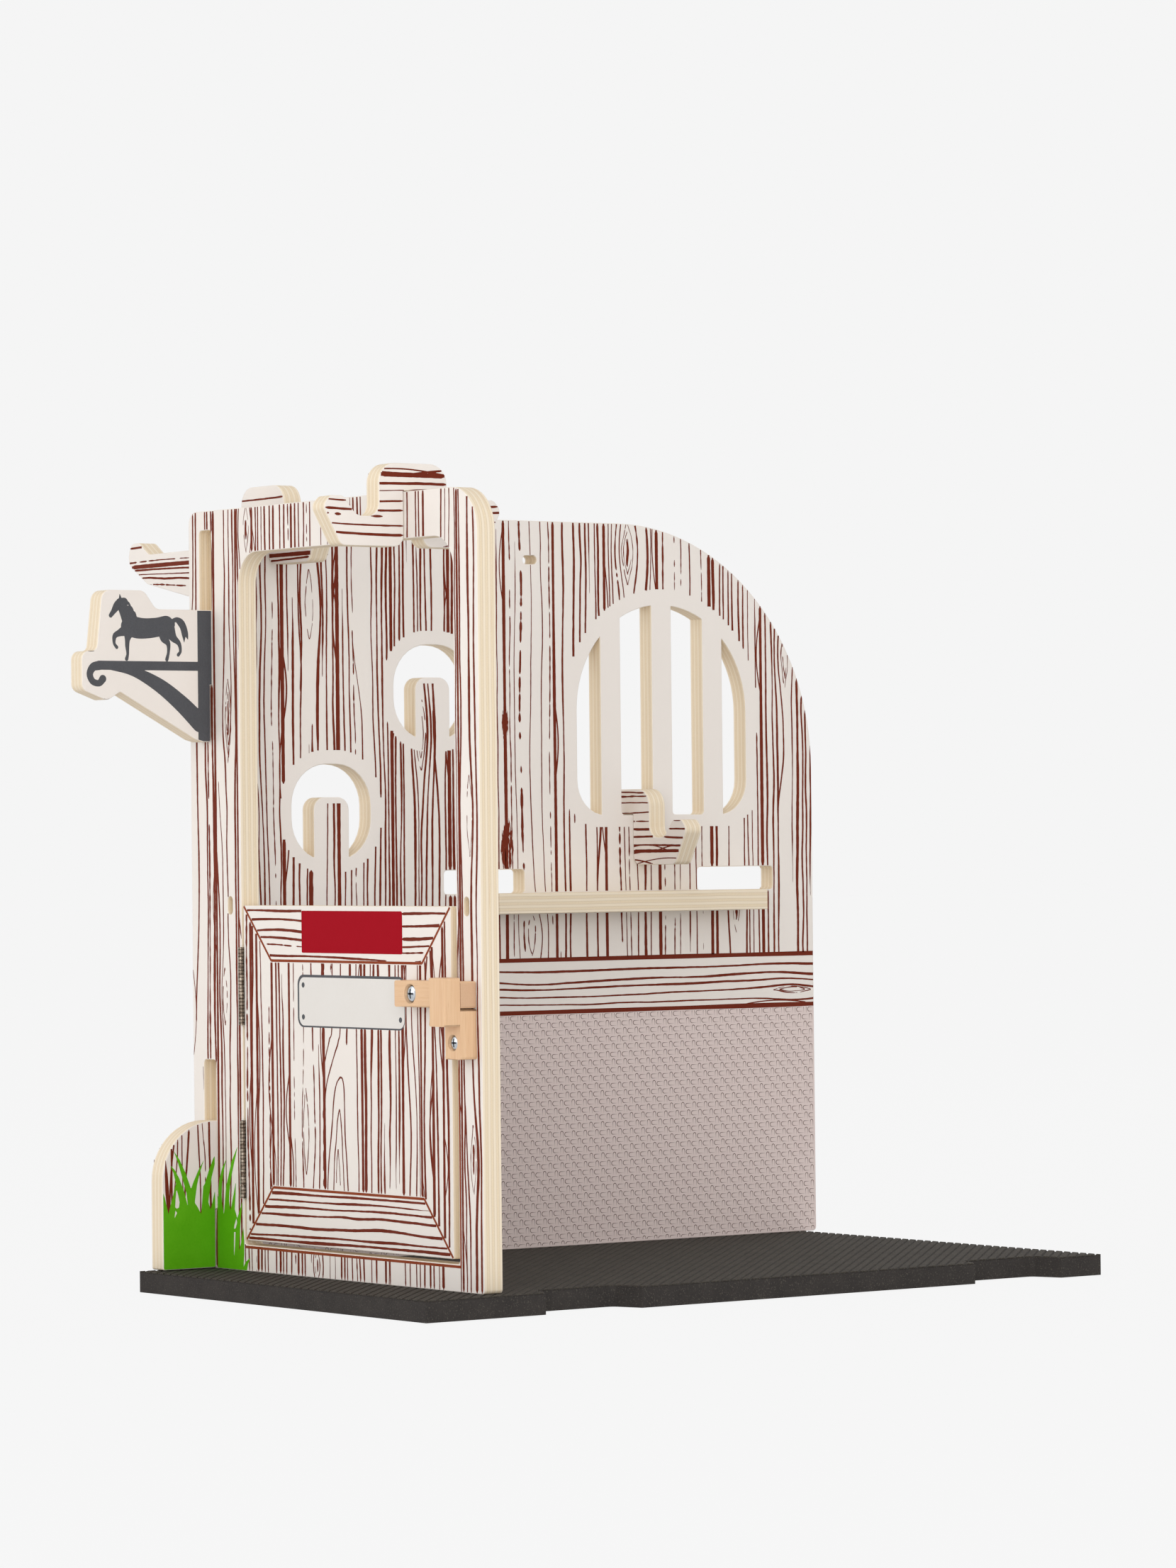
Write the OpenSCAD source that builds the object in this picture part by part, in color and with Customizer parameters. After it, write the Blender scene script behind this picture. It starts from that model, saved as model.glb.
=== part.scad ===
// Toy horse stable: a plywood front panel with a swinging half door, one side wall that hooks
// through it, three lift-off hook boards, a shelf rail and a foam floor mat.
// Millimetres. The origin is at the middle of the mat's underside, X to the right along the
// front panel, Y to the back and Z up.

/* [Boards] */
// Thickness of every plywood board
board_t = 10; // [8:0.5:12]
// Clearance between a piece that moves or lifts off and what it rests on
fit_gap = 0.3; // [0.2:0.05:0.5]
// Height of the front panel and of the side wall
board_h = 361.5; // [350:0.5:400]

/* [Floor mat] */
// How far the mat reaches past the front panel's free edge
mat_side = 8; // [0:0.5:20]
// Depth of the mat from front to back
mat_l = 396; // [380:1:440]
// Thickness of the foam
mat_t = 10; // [6:0.5:14]
// How far the mat reaches in front of the front panel
mat_front = 37.4; // [34:0.1:60]
// Width of a joining notch at the mat's edge
notch_mouth = 54; // [46:1:60]
// Width of a joining notch at its inner end
notch_inner = 43; // [30:1:50]
// Depth of a joining notch
notch_d = 15.3; // [8:0.1:20]
// Middle of the front notch behind the front panel's face
notch_y = 54.8; // [40:0.1:80]
// Distance between the two notches
notch_pitch = 251.5; // [150:0.5:280]
// Radius of the notch corners
notch_r = 4; // [2:0.5:6]

/* [Front panel] */
// Width of the post between the doorway and the front panel's free edge
latch_post_w = 19; // [17:0.5:30]
// How far the front panel passes the side wall's inner face on the left
panel_over = 19.5; // [16:0.5:30]
// Radius of the top corner beside the side wall
panel_left_r = 6; // [2:0.5:8]
// Radius of the free top corner
panel_right_r = 20; // [5:1:21]
// Doorway's hinge side, measured from the side wall's inner face
doorway_x = 24; // [20:0.5:35]
// Width of the doorway
doorway_w = 177; // [150:0.5:200]
// Height of the doorway's sill above the mat
doorway_sill = 12.4; // [8:0.2:20]
// Height of the bar over the doorway
doorway_bar = 21.4; // [18:0.2:25]
// Radius of the doorway's top corners
doorway_r = 15; // [6:0.5:20]
// Width of a small slot for a cord
cord_slot_w = 4.2; // [3:0.1:6]
// Length of a small slot for a cord
cord_slot_l = 8.6; // [7:0.1:14]
// Height of the cord slots in the front panel
cord_slot_z = 173; // [160:0.5:190]
// Cord slot beside the doorway's hinge side, measured from the doorway
cord_slot_in = 9.9; // [7:0.1:12]
// Cord slot beside the panel's free edge, measured from that edge
cord_slot_out = 11.2; // [8:0.1:12]

/* [Side wall] */
// Length of the side wall behind the front panel's face
wall_l = 366; // [350:1:400]
// Radius of the side wall's rear top corner
wall_r = 123; // [60:1:125]
// Middle of the barred window in front of the wall's rear edge
window_back = 96.3; // [86:0.1:100]
// Radius of the window's arched top
window_r = 53.5; // [50:0.5:58]
// Centre of the window's arch below the wall's top edge
window_drop = 94.2; // [85:0.1:100]
// Height of the window's straight sides
window_side_h = 52.5; // [45:0.1:60]
// Radius of the window's lower corners
window_low_r = 17.5; // [10:0.5:20]
// Width of a window bar
window_bar = 12.5; // [9:0.1:15]
// Width of each middle opening between the bars
window_gap = 19.8; // [17:0.1:21]
// Small radius that the cutter leaves in slots and openings
cutter_r = 2; // [1:0.1:2.5]
// Length of a shelf slot
shelf_slot_l = 48.8; // [30:0.2:60]
// Height of a shelf slot
shelf_slot_h = 11.8; // [8:0.2:16]
// Distance between the middles of the two shelf slots
shelf_slot_pitch = 157; // [120:1:170]
// Width of a tongue cut-out
tongue_cut_w = 46; // [40:0.5:50]
// Height of a tongue cut-out
tongue_cut_h = 46.5; // [42:0.5:50]
// Corner radius of a tongue cut-out
tongue_cut_r = 20; // [14:0.5:20.5]
// Width of the tongue in a cut-out
tongue_w = 20.4; // [14:0.2:24]
// Gap over the tongue
tongue_gap = 16.1; // [12:0.1:20]
// Radius of the tongue's top corners
tongue_r = 6; // [3:0.5:7]
// Front tongue cut-out behind the front panel's face
tongue_low_y = 67.9; // [60:0.1:75]
// Top of the front tongue cut-out below the wall's top edge
tongue_low_drop = 121.1; // [115:0.1:126]
// Rear tongue cut-out behind the front panel's face
tongue_high_y = 128.2; // [122:0.1:135]
// Top of the rear tongue cut-out below the wall's top edge
tongue_high_drop = 62.5; // [56:0.1:70]
// Cord slot in the side wall behind the front panel's face
wall_cord_y = 188; // [160:1:195]
// Cord slot in the side wall below the wall's top edge
wall_cord_drop = 19.5; // [13:0.5:26]

/* [Sign and foot] */
// How far the wall's hooks drop behind the front panel's slots
hook_drop = 28; // [24:0.5:34]
// Gap between a hook's lip and the front panel's face
lip_gap = 1; // [0.5:0.1:2]
// Top of the sign below the wall's top edge
sign_drop = 38.8; // [36:0.1:44]
// Height of the sign from its top to the lower edge of its lip
sign_h = 71.7; // [66:0.1:76]
// Rise of the sign's top above its arm
sign_rise = 8.8; // [6:0.1:11]
// How far the sign reaches in front of the panel
sign_reach = 72.3; // [68:0.1:80]
// Start of the raised top in front of the panel
sign_step = 37.5; // [33:0.1:42]
// Length of the curled end in front of the raised top
sign_curl = 11.5; // [9:0.1:14]
// How far the grass foot reaches in front of the panel
foot_reach = 30.5; // [29:0.1:33]
// Height of the grass foot
foot_h = 70.3; // [64:0.1:74]
// Radius of the grass foot's front top corner
foot_r = 28; // [10:0.5:28]
// Gap between the foot and the mat
foot_lift = 0.4; // [0.3:0.1:1]

/* [Door] */
// Height of the door
door_h = 158.4; // [150:0.2:175]
// Gap between the doorway's side and the door at the hinges
door_gap_hinge = 1.6; // [1.5:0.1:2]
// Gap between the door and the doorway at the latch
door_gap_latch = 4.6; // [2:0.1:6]
// Gap between the sill and the door
door_gap_sill = 2.2; // [1:0.1:4]

/* [Hinges] */
// Length of a hinge
hinge_l = 37; // [30:0.5:45]
// Distance from the door's end to the middle of a hinge
hinge_inset = 38.2; // [35:0.1:50]
// Outer diameter of the hinge barrel
barrel_d = 2.6; // [2.3:0.1:2.7]
// How far the barrel's axis stands in front of the door's face
barrel_out = 1.2; // [1.1:0.05:1.5]
// Diameter of the hinge pin
pin_d = 1.3; // [1:0.05:1.4]
// Running clearance around the pin, on the radius
pin_gap = 0.03; // [0.02:0.01:0.06]
// Thickness of a hinge leaf
leaf_t = 0.7; // [0.5:0.05:0.7]
// Gap between neighbouring knuckles
knuckle_gap = 0.3; // [0.2:0.05:0.4]
// Distance of a leaf screw from the middle of the hinge
leaf_screw_z = 11; // [8:0.5:12]
// Diameter of a leaf screw's head
leaf_head_d = 3.2; // [2.6:0.1:3.6]
// Diameter of a leaf screw's shank
leaf_shank_d = 1.6; // [1.2:0.1:2]
// Length of a leaf screw
leaf_screw_l = 9; // [7:0.5:10]

/* [Latch] */
// Length of the latch bar
bar_l = 52; // [49:0.5:60]
// Height of the latch bar
bar_h = 12; // [10.5:0.5:14]
// Thickness of the latch bar
bar_t = 8.4; // [7:0.1:10]
// Distance from the bar's short end to its screw
bar_pivot = 12.3; // [8:0.1:16]
// Height of the bar's middle above the mat
bar_z = 133.7; // [125:0.1:145]
// Diameter of the recess around the bar screw's head
bar_recess_d = 9; // [8.4:0.1:10]
// Depth of the screw head's recess in the bar and in the keeper
recess_depth = 2.2; // [1.8:0.1:3]
// Diameter of the bar screw's head
bar_head_d = 8; // [7:0.1:8.2]
// Diameter of a latch screw's shank
latch_shank_d = 3.5; // [3:0.1:4]
// Clearance between the bar screw's shank and the bar, on the radius
pivot_gap = 0.1; // [0.05:0.01:0.1]
// Thickness of the wood left behind the tip of a latch screw
screw_cover = 1.5; // [1:0.1:3]
// Width of the keeper
keeper_w = 12; // [10.5:0.1:13]
// Gap between the keeper and the panel's free edge
keeper_edge = 4; // [1:0.1:5]
// Thickness of the keeper's block in front of the bar
keeper_block_t = 8.6; // [6:0.1:10]
// How far the block reaches above the bar
keeper_above = 1.8; // [0.5:0.1:4]
// How far the block reaches below the bar
keeper_overlap = 8; // [5:0.1:10]
// Height of the keeper's foot below the block
keeper_foot = 14.9; // [12:0.1:20]
// Diameter of the recess around the keeper screw's head
keeper_recess_d = 7.4; // [7.2:0.1:8]
// Diameter of the keeper screw's head
keeper_head_d = 7; // [6:0.1:7]
// Radius of the latch pieces' corners
latch_r = 1.2; // [0.5:0.1:2]

/* [Hook boards] */
// Depth of the slot that straddles a board
hook_slot = 25.4; // [22:0.2:30]
// Height of the middle lobe over the slot
lobe_h = 12.6; // [9:0.1:16]
// Half the width of the middle lobe
lobe_half = 18.8; // [17:0.1:21]
// Reach of a short hook arm from the slot's middle
arm_reach = 48.2; // [44:0.1:56]
// Depth of the valley between lobe and tip below the slot's top
valley_depth = 11.8; // [10:0.1:14]
// Depth of the tip's top below the slot's top
tip_depth = 3; // [1:0.1:5]
// Front face of the bar hook, from the side wall's inner face
bar_hook_x = 153; // [100:1:170]
// How far the window hook sits behind the middle of its opening
window_hook_shift = 1.9; // [0:0.1:3]
// Front face of the saddle rack behind the front panel's face
rack_y = 33; // [20:1:60]
// Reach of the saddle rack's long arm from the slot's middle
rack_reach = 122.4; // [90:0.1:140]
// Depth of the saddle rack's slot on the outer side
rack_slot_outer = 49; // [40:0.5:60]

/* [Shelf] */
// Length of the shelf rail
shelf_l = 167.5; // [140:0.5:180]
// Depth of the shelf rail
shelf_d = 20; // [16:0.5:30]
// Middle of the shelf rail in front of the window's middle
shelf_shift = 32.7; // [25:0.1:40]
// Top of the shelf rail below the window sill
shelf_drop = 38.5; // [30:0.1:45]
// Diameter of a shelf dowel
dowel_d = 5; // [4:0.5:6]
// How deep a dowel sits in the side wall
dowel_in = 7; // [5:0.5:8]
// How deep a dowel sits in the shelf
dowel_out = 12; // [8:0.5:14]
// Clearance around dowels and screws, on the radius
wood_gap = 0.02; // [0.01:0.01:0.05]

/* [Hidden] */
$fn = 64;

// The panel's free edge, the mat's width, and the inner corner's place in the part's frame
panel_right = doorway_x + doorway_w + latch_post_w;
mat_w = board_t + panel_right + mat_side;
corner_x = board_t - mat_w / 2;
corner_y = mat_front - mat_l / 2;

doorway_top = board_h - doorway_bar;
door_x = doorway_x + door_gap_hinge;
door_w = doorway_w - door_gap_hinge - door_gap_latch;
door_z = doorway_sill + door_gap_sill;
door_right = door_x + door_w;

axis_x = doorway_x + door_gap_hinge / 2;
axis_y = -barrel_out;
hinge_zs = [door_z + hinge_inset, door_z + door_h - hinge_inset];
knuckles = 6;
leaf_reach = 0.88 * board_t;
leaf_head_h = 0.8 * leaf_t;

keeper_right = panel_right - keeper_edge;
keeper_x = keeper_right - keeper_w;
bar_x = keeper_right - bar_l;
bar_front = -fit_gap - bar_t;
bar_low = bar_z - bar_h / 2;
keeper_seat = bar_low - fit_gap;
keeper_back_t = bar_t + 2 * fit_gap;
block_low = bar_low - keeper_overlap;
block_high = bar_low + bar_h + keeper_above;
keeper_low = block_low - keeper_foot;
bar_pivot_x = bar_x + bar_pivot;
latch_tip = board_t - screw_cover;
keeper_screw_z = block_low - keeper_foot / 2;

window_y = wall_l - window_back;
window_arch_z = board_h - window_drop;
window_sill = window_arch_z - window_side_h;
tongue_low_z = board_h - tongue_low_drop;
tongue_high_z = board_h - tongue_high_drop;
wall_cord_z = board_h - wall_cord_drop;

sign_top_z = board_h - sign_drop;
sign_arm_z = sign_top_z - sign_rise;
sign_lip_z = sign_top_z - sign_h;
sign_slot_low = sign_lip_z + hook_drop - 1.2;
sign_slot_high = sign_top_z + hook_drop + 1.6;
foot_slot_low = hook_drop;
foot_slot_high = foot_h + hook_drop + 1;

shelf_y = window_y - shelf_shift;
shelf_z = window_sill - shelf_drop;
shelf_low = shelf_z - board_t;
dowel_pitch = shelf_l / 3;

// Points of an outline whose corners [x, y, radius] are rounded with arcs of n steps
function unit(v) = v / norm(v);
function turn_of(a, b) = acos(max(-1, min(1, a * b)));
function corner_arc(before, at, after, n) =
    let (p = [at[0], at[1]],
         u = unit([before[0], before[1]] - p),
         w = unit([after[0], after[1]] - p),
         half = turn_of(u, w) / 2,
         r = at[2])
    r <= 0 || half > 89.9 ? [p] :
    let (d = r / tan(half),
         m = p + unit(u + w) * (r / sin(half)),
         s = p + u * d - m,
         e = p + w * d - m,
         sweep = turn_of(unit(s), unit(e)),
         sense = s[0] * e[1] - s[1] * e[0] > 0 ? 1 : -1)
    [for (i = [0 : n])
        let (a = sense * sweep * i / n)
        m + [s[0] * cos(a) - s[1] * sin(a), s[0] * sin(a) + s[1] * cos(a)]];
function rounded(c, n = 8) =
    [for (i = [0 : len(c) - 1])
        each corner_arc(c[(i + len(c) - 1) % len(c)], c[i], c[(i + 1) % len(c)], n)];
function box_corners(x0, y0, x1, y1, r) = [[x0, y0, r], [x1, y0, r], [x1, y1, r], [x0, y1, r]];

// Puts what is drawn from the stable's inner corner at the mat's top into the part's frame
module placed() {
    translate([corner_x, corner_y, mat_t]) children();
}

// A board in the plane of the front panel: drawn in X and Z, its front face at Y = y
module front_board(y, t) {
    translate([0, y + t, 0]) rotate([90, 0, 0]) linear_extrude(t) children();
}

// A board in the plane of the side wall: drawn in Y and Z, its left face at X = x
module side_board(x, t) {
    translate([x, 0, 0]) rotate([90, 0, 90]) linear_extrude(t) children();
}

// A round bar along Y from y0 to y1
module round_y(x, z, d, y0, y1) {
    translate([x, y0, z]) rotate([-90, 0, 0]) cylinder(h = y1 - y0, d = d);
}

// A round bar along X from x0 to x1
module round_x(y, z, d, x0, x1) {
    translate([x0, y, z]) rotate([0, 90, 0]) cylinder(h = x1 - x0, d = d);
}

module rounded_box_2d(x0, y0, x1, y1, r) {
    polygon(rounded(box_corners(x0, y0, x1, y1, r)));
}

// A cord slot with round ends, upright or lying
module cord_slot_2d(x, y, upright) {
    w = upright ? cord_slot_w : cord_slot_l;
    l = upright ? cord_slot_l : cord_slot_w;
    rounded_box_2d(x - w / 2, y - l / 2, x + w / 2, y + l / 2, cord_slot_w * 0.49);
}

module floor_mat() {
    color("dimgray") translate([-mat_w / 2, -mat_l / 2, 0]) linear_extrude(mat_t)
        difference() {
            square([mat_w, mat_l]);
            for (i = [0, 1])
                translate([mat_w, mat_front + notch_y + i * notch_pitch])
                    polygon(rounded([
                        [notch_d, -notch_mouth / 2 - notch_d / 2, 0],
                        [0, -notch_mouth / 2, notch_r],
                        [-notch_d, -notch_inner / 2, notch_r],
                        [-notch_d, notch_inner / 2, notch_r],
                        [0, notch_mouth / 2, notch_r],
                        [notch_d, notch_mouth / 2 + notch_d / 2, 0]]));
        }
}

module panel_outline() {
    polygon(rounded([
        [-panel_over, 0, 0],
        [panel_right, 0, cutter_r],
        [panel_right, board_h, panel_right_r],
        [-panel_over, board_h, panel_left_r]], 12));
}

module doorway_2d() {
    polygon(rounded([
        [doorway_x, doorway_sill, cutter_r],
        [doorway_x + doorway_w, doorway_sill, cutter_r],
        [doorway_x + doorway_w, doorway_top, doorway_r],
        [doorway_x, doorway_top, doorway_r]], 12));
}

module wall_slots_2d() {
    left = -board_t - fit_gap;
    right = fit_gap;
    rounded_box_2d(left, sign_slot_low, right, sign_slot_high, cutter_r);
    rounded_box_2d(left, foot_slot_low, right, foot_slot_high, cutter_r);
}

// Pilot holes of the leaf screws, from x towards dir
module leaf_pilots(x, dir) {
    for (z = hinge_zs, s = [-1, 1])
        round_x(board_t / 2, z + s * leaf_screw_z, leaf_shank_d + 2 * wood_gap,
                dir > 0 ? x - 1 : x - leaf_screw_l, dir > 0 ? x + leaf_screw_l : x + 1);
}

module front_panel() {
    color("linen") placed() difference() {
        front_board(0, board_t) difference() {
            panel_outline();
            doorway_2d();
            wall_slots_2d();
            cord_slot_2d(doorway_x - cord_slot_in, cord_slot_z, true);
            cord_slot_2d(panel_right - cord_slot_out, cord_slot_z, true);
        }
        leaf_pilots(doorway_x, -1);
        round_y(keeper_x + keeper_w / 2, keeper_screw_z, latch_shank_d + 2 * wood_gap, -1, latch_tip);
    }
}

// The sign: an arm through the upper slot, a curled end and a lip that hangs before the panel
module sign_2d() {
    polygon(rounded([
        [board_t + 1, sign_slot_low + fit_gap, 0],
        [board_t + 1, sign_arm_z, 0],
        [6.5 - sign_step, sign_arm_z, 5],
        [-sign_step, sign_top_z, 5],
        [sign_curl - sign_reach, sign_top_z, 5],
        [8.3 - sign_reach, sign_arm_z - 20, 3],
        [-sign_reach, sign_arm_z - 20.2, 4],
        [-sign_reach, sign_arm_z - 38.4, 4],
        [13.8 - sign_reach, sign_arm_z - 43.5, 4],
        [21.1 - sign_reach, sign_arm_z - 39.3, 1.5],
        [-lip_gap - 8.5, sign_lip_z + 1.2, 4],
        [-lip_gap - 4, sign_lip_z, 1],
        [-lip_gap, sign_lip_z, 1],
        [-lip_gap, sign_slot_low + fit_gap, 0]], 6));
}

// The grass foot: an arm through the lower slot and a rounded lip down to the mat
module foot_2d() {
    polygon(rounded([
        [board_t + 1, foot_slot_low + fit_gap, 0],
        [board_t + 1, foot_h, 0],
        [-foot_reach, foot_h, foot_r],
        [-foot_reach, foot_lift, 1],
        [-lip_gap, foot_lift, 1],
        [-lip_gap, foot_slot_low + fit_gap, 0]], 12));
}

// The window's outline: an arch on a box with rounded lower corners
module window_outline() {
    union() {
        translate([window_y, window_arch_z]) circle(r = window_r, $fn = 96);
        polygon(rounded([
            [window_y - window_r, window_sill, window_low_r],
            [window_y + window_r, window_sill, window_low_r],
            [window_y + window_r, window_arch_z, 0],
            [window_y - window_r, window_arch_z, 0]]));
    }
}

// The four openings between three upright bars
module window_2d() {
    inner = window_bar / 2;
    middle = inner + window_gap;
    outer = middle + window_bar;
    top = window_arch_z + window_r;
    for (s = [-1, 1]) {
        intersection() {
            window_outline();
            translate([window_y, 0]) scale([s, 1])
                rounded_box_2d(inner, window_sill, middle, top + 2 * cutter_r, cutter_r);
        }
        intersection() {
            window_outline();
            translate([window_y, 0]) scale([s, 1])
                square([window_r + 1, top]);
            translate([window_y, 0]) scale([s, 1]) translate([outer, 0])
                square([window_r, top]);
        }
    }
}

// A rounded cut-out with a tongue standing in it
module tongue_cut_2d(y, top) {
    difference() {
        rounded_box_2d(y - tongue_cut_w / 2, top - tongue_cut_h,
                       y + tongue_cut_w / 2, top, tongue_cut_r);
        polygon(rounded([
            [y - tongue_w / 2, top - tongue_cut_h - 1, 0],
            [y + tongue_w / 2, top - tongue_cut_h - 1, 0],
            [y + tongue_w / 2, top - tongue_gap, tongue_r],
            [y - tongue_w / 2, top - tongue_gap, tongue_r]]));
    }
}

module shelf_slots_2d() {
    for (s = [-1, 1])
        rounded_box_2d(shelf_y + s * shelf_slot_pitch / 2 - shelf_slot_l / 2, shelf_z,
                       shelf_y + s * shelf_slot_pitch / 2 + shelf_slot_l / 2, shelf_z + shelf_slot_h,
                       cutter_r);
}

module wall_2d() {
    difference() {
        union() {
            polygon(rounded([
                [board_t, 0, 0],
                [wall_l, 0, cutter_r],
                [wall_l, board_h, wall_r],
                [board_t, board_h, 0]], 32));
            sign_2d();
            foot_2d();
        }
        window_2d();
        shelf_slots_2d();
        tongue_cut_2d(tongue_low_y, tongue_low_z);
        tongue_cut_2d(tongue_high_y, tongue_high_z);
        cord_slot_2d(wall_cord_y, wall_cord_z, false);
    }
}

module dowels(gap) {
    for (i = [-1 : 1])
        round_x(shelf_y + i * dowel_pitch, shelf_low + board_t / 2, dowel_d + 2 * gap,
                -dowel_in - gap, dowel_out + gap);
}

module side_wall() {
    color("linen") placed() difference() {
        side_board(-board_t, board_t) wall_2d();
        dowels(wood_gap);
    }
}

module shelf() {
    color("wheat") placed() difference() {
        translate([0, shelf_y - shelf_l / 2, shelf_low]) cube([shelf_d, shelf_l, board_t]);
        dowels(wood_gap);
    }
}

module shelf_dowels() {
    color("burlywood") placed() dowels(0);
}

module door() {
    color("linen") placed() difference() {
        front_board(0, board_t)
            rounded_box_2d(door_x, door_z, door_right, door_z + door_h, cutter_r / 2);
        leaf_pilots(door_x, 1);
        round_y(bar_pivot_x, bar_z, latch_shank_d + 2 * wood_gap, -1, latch_tip);
    }
}

// Every second knuckle of a hinge, starting with the given one, around the hinge axis
module knuckle_row(first, d, extra) {
    step = hinge_l / knuckles;
    for (i = [first : 2 : knuckles - 1])
        translate([0, 0, -hinge_l / 2 + i * step + knuckle_gap / 2 - extra])
            cylinder(h = step - knuckle_gap + 2 * extra, d = d);
}

// One leaf with its knuckles. The frame's leaf lies on the left of the axis, the door's on the right
module hinge_leaf(side, first) {
    outer = door_gap_hinge / 2;
    inner = outer - leaf_t;
    step = hinge_l / knuckles;
    clear = barrel_d / 2 + fit_gap;
    difference() {
        union() {
            knuckle_row(first, barrel_d, 0);
            translate([side > 0 ? inner : -outer, clear, -hinge_l / 2])
                cube([leaf_t, leaf_reach + barrel_out - clear, hinge_l]);
            for (i = [first : 2 : knuckles - 1])
                translate([side > 0 ? inner : -outer, 0, -hinge_l / 2 + i * step + knuckle_gap / 2])
                    cube([leaf_t, clear + 0.5, step - knuckle_gap]);
        }
        translate([0, 0, -hinge_l / 2 - 1]) cylinder(h = hinge_l + 2, d = pin_d + 2 * pin_gap);
        for (s = [-1, 1])
            translate([side * outer, barrel_out + board_t / 2, s * leaf_screw_z])
                rotate([0, -side * 90, 0]) leaf_screw_shape(wood_gap);
    }
}

// A leaf screw with its shank's end towards -Z. The leaf's back lies at Z = 0
module leaf_screw_shape(gap) {
    rotate_extrude() polygon([
        [0, -leaf_screw_l + 0.5],
        [leaf_shank_d / 2 + gap, -leaf_screw_l + 1.5],
        [leaf_shank_d / 2 + gap, leaf_t - leaf_head_h],
        [leaf_head_d / 2 + gap, leaf_t],
        [leaf_head_d / 2 + gap, leaf_t + 10 * gap],
        [0, leaf_t + 10 * gap]]);
}

module cross_recess(across, deep) {
    for (a = [0, 90])
        rotate([0, 0, a]) translate([-across / 2, -across / 10, -deep])
            cube([across, across / 5, 3 * deep]);
}

module leaf_screws(side) {
    outer = door_gap_hinge / 2;
    for (z = hinge_zs, s = [-1, 1])
        translate([axis_x + side * outer, board_t / 2, z + s * leaf_screw_z])
            rotate([0, -side * 90, 0]) difference() {
                leaf_screw_shape(0);
                translate([0, 0, leaf_t]) cross_recess(leaf_head_d * 0.6, leaf_t * 0.6);
            }
}

module at_hinge(i) {
    placed() translate([axis_x, axis_y, hinge_zs[i]]) children();
}

module upper_frame_leaf() {
    color("peru") at_hinge(1) hinge_leaf(-1, 0);
}

module lower_frame_leaf() {
    color("peru") at_hinge(0) hinge_leaf(-1, 0);
}

module upper_door_leaf() {
    color("peru") at_hinge(1) hinge_leaf(1, 1);
}

module lower_door_leaf() {
    color("peru") at_hinge(0) hinge_leaf(1, 1);
}

module hinge_pin() {
    translate([0, 0, -hinge_l / 2]) cylinder(h = hinge_l, d = pin_d);
}

module upper_hinge_pin() {
    color("saddlebrown") at_hinge(1) hinge_pin();
}

module lower_hinge_pin() {
    color("saddlebrown") at_hinge(0) hinge_pin();
}

module frame_leaf_screws() {
    color("silver") placed() leaf_screws(-1);
}

module door_leaf_screws() {
    color("silver") placed() leaf_screws(1);
}

// A screw along Y with a domed head whose underside lies at y
module latch_screw_shape(x, z, y, head_d) {
    head_h = 0.26 * head_d;
    translate([x, y, z]) rotate([90, 0, 0]) difference() {
        rotate_extrude() polygon(concat(
            [[0, y - latch_tip],
             [latch_shank_d / 2 - 1, y - latch_tip],
             [latch_shank_d / 2, y - latch_tip + 1.5],
             [latch_shank_d / 2, 0],
             [head_d / 2, 0],
             [head_d / 2, head_h * 0.25]],
            [for (a = [15 : 15 : 90])
                [head_d / 2 * cos(a), head_h * (0.25 + 0.75 * sin(a))]]));
        translate([0, 0, head_h]) cross_recess(head_d * 0.55, head_h * 0.75);
    }
}

module latch_bar() {
    color("burlywood") placed() difference() {
        front_board(bar_front, bar_t)
            rounded_box_2d(bar_x, bar_low, keeper_right, bar_low + bar_h, latch_r);
        round_y(bar_pivot_x, bar_z, latch_shank_d + 2 * pivot_gap, bar_front - 1, 1);
        round_y(bar_pivot_x, bar_z, bar_recess_d, bar_front - 1, bar_front + recess_depth);
    }
}

module latch_screw() {
    color("silver") placed()
        latch_screw_shape(bar_pivot_x, bar_z, bar_front + recess_depth - pivot_gap, bar_head_d);
}

module latch_keeper() {
    x = keeper_x + keeper_w / 2;
    color("burlywood") placed() difference() {
        union() {
            front_board(-keeper_back_t, keeper_back_t)
                rounded_box_2d(keeper_x, keeper_low, keeper_right, keeper_seat, latch_r);
            front_board(-keeper_back_t - keeper_block_t, keeper_block_t)
                rounded_box_2d(keeper_x, block_low, keeper_right, block_high, latch_r);
        }
        round_y(x, keeper_screw_z, latch_shank_d + 2 * wood_gap, -keeper_back_t - 1, 1);
        round_y(x, keeper_screw_z, keeper_recess_d, -keeper_back_t - 1, -keeper_back_t + recess_depth);
    }
}

module keeper_screw() {
    color("silver") placed()
        latch_screw_shape(keeper_x + keeper_w / 2, keeper_screw_z, -keeper_back_t + recess_depth,
                          keeper_head_d);
}

// Corners of a short hook arm on the right of the slot, drawn from the slot's top, counterclockwise
function short_arm() = [
    [board_t / 2 + fit_gap, 0, 0],
    [board_t / 2 + fit_gap, -hook_slot, 5],
    [arm_reach - 8.7, -hook_slot, 4],
    [arm_reach + 1.2, -tip_depth - 4.5, 4],
    [arm_reach - 3.2, -tip_depth, 3],
    [arm_reach - 10.2, -tip_depth, 3.5],
    [arm_reach - 17.2, -valley_depth, 6],
    [lobe_half, -valley_depth, 6],
    [lobe_half, lobe_h, 9]];

function mirrored(c) = [for (i = [len(c) - 1 : -1 : 0]) [-c[i][0], c[i][1], c[i][2]]];

// A double hook: the same arm on both sides of the slot
module double_hook_2d() {
    translate([0, fit_gap])
        polygon(rounded(concat(short_arm(), mirrored(short_arm())), 8));
}

module bar_hook() {
    color("linen") placed() side_board(bar_hook_x, board_t)
        translate([board_t / 2, board_h]) double_hook_2d();
}

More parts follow.
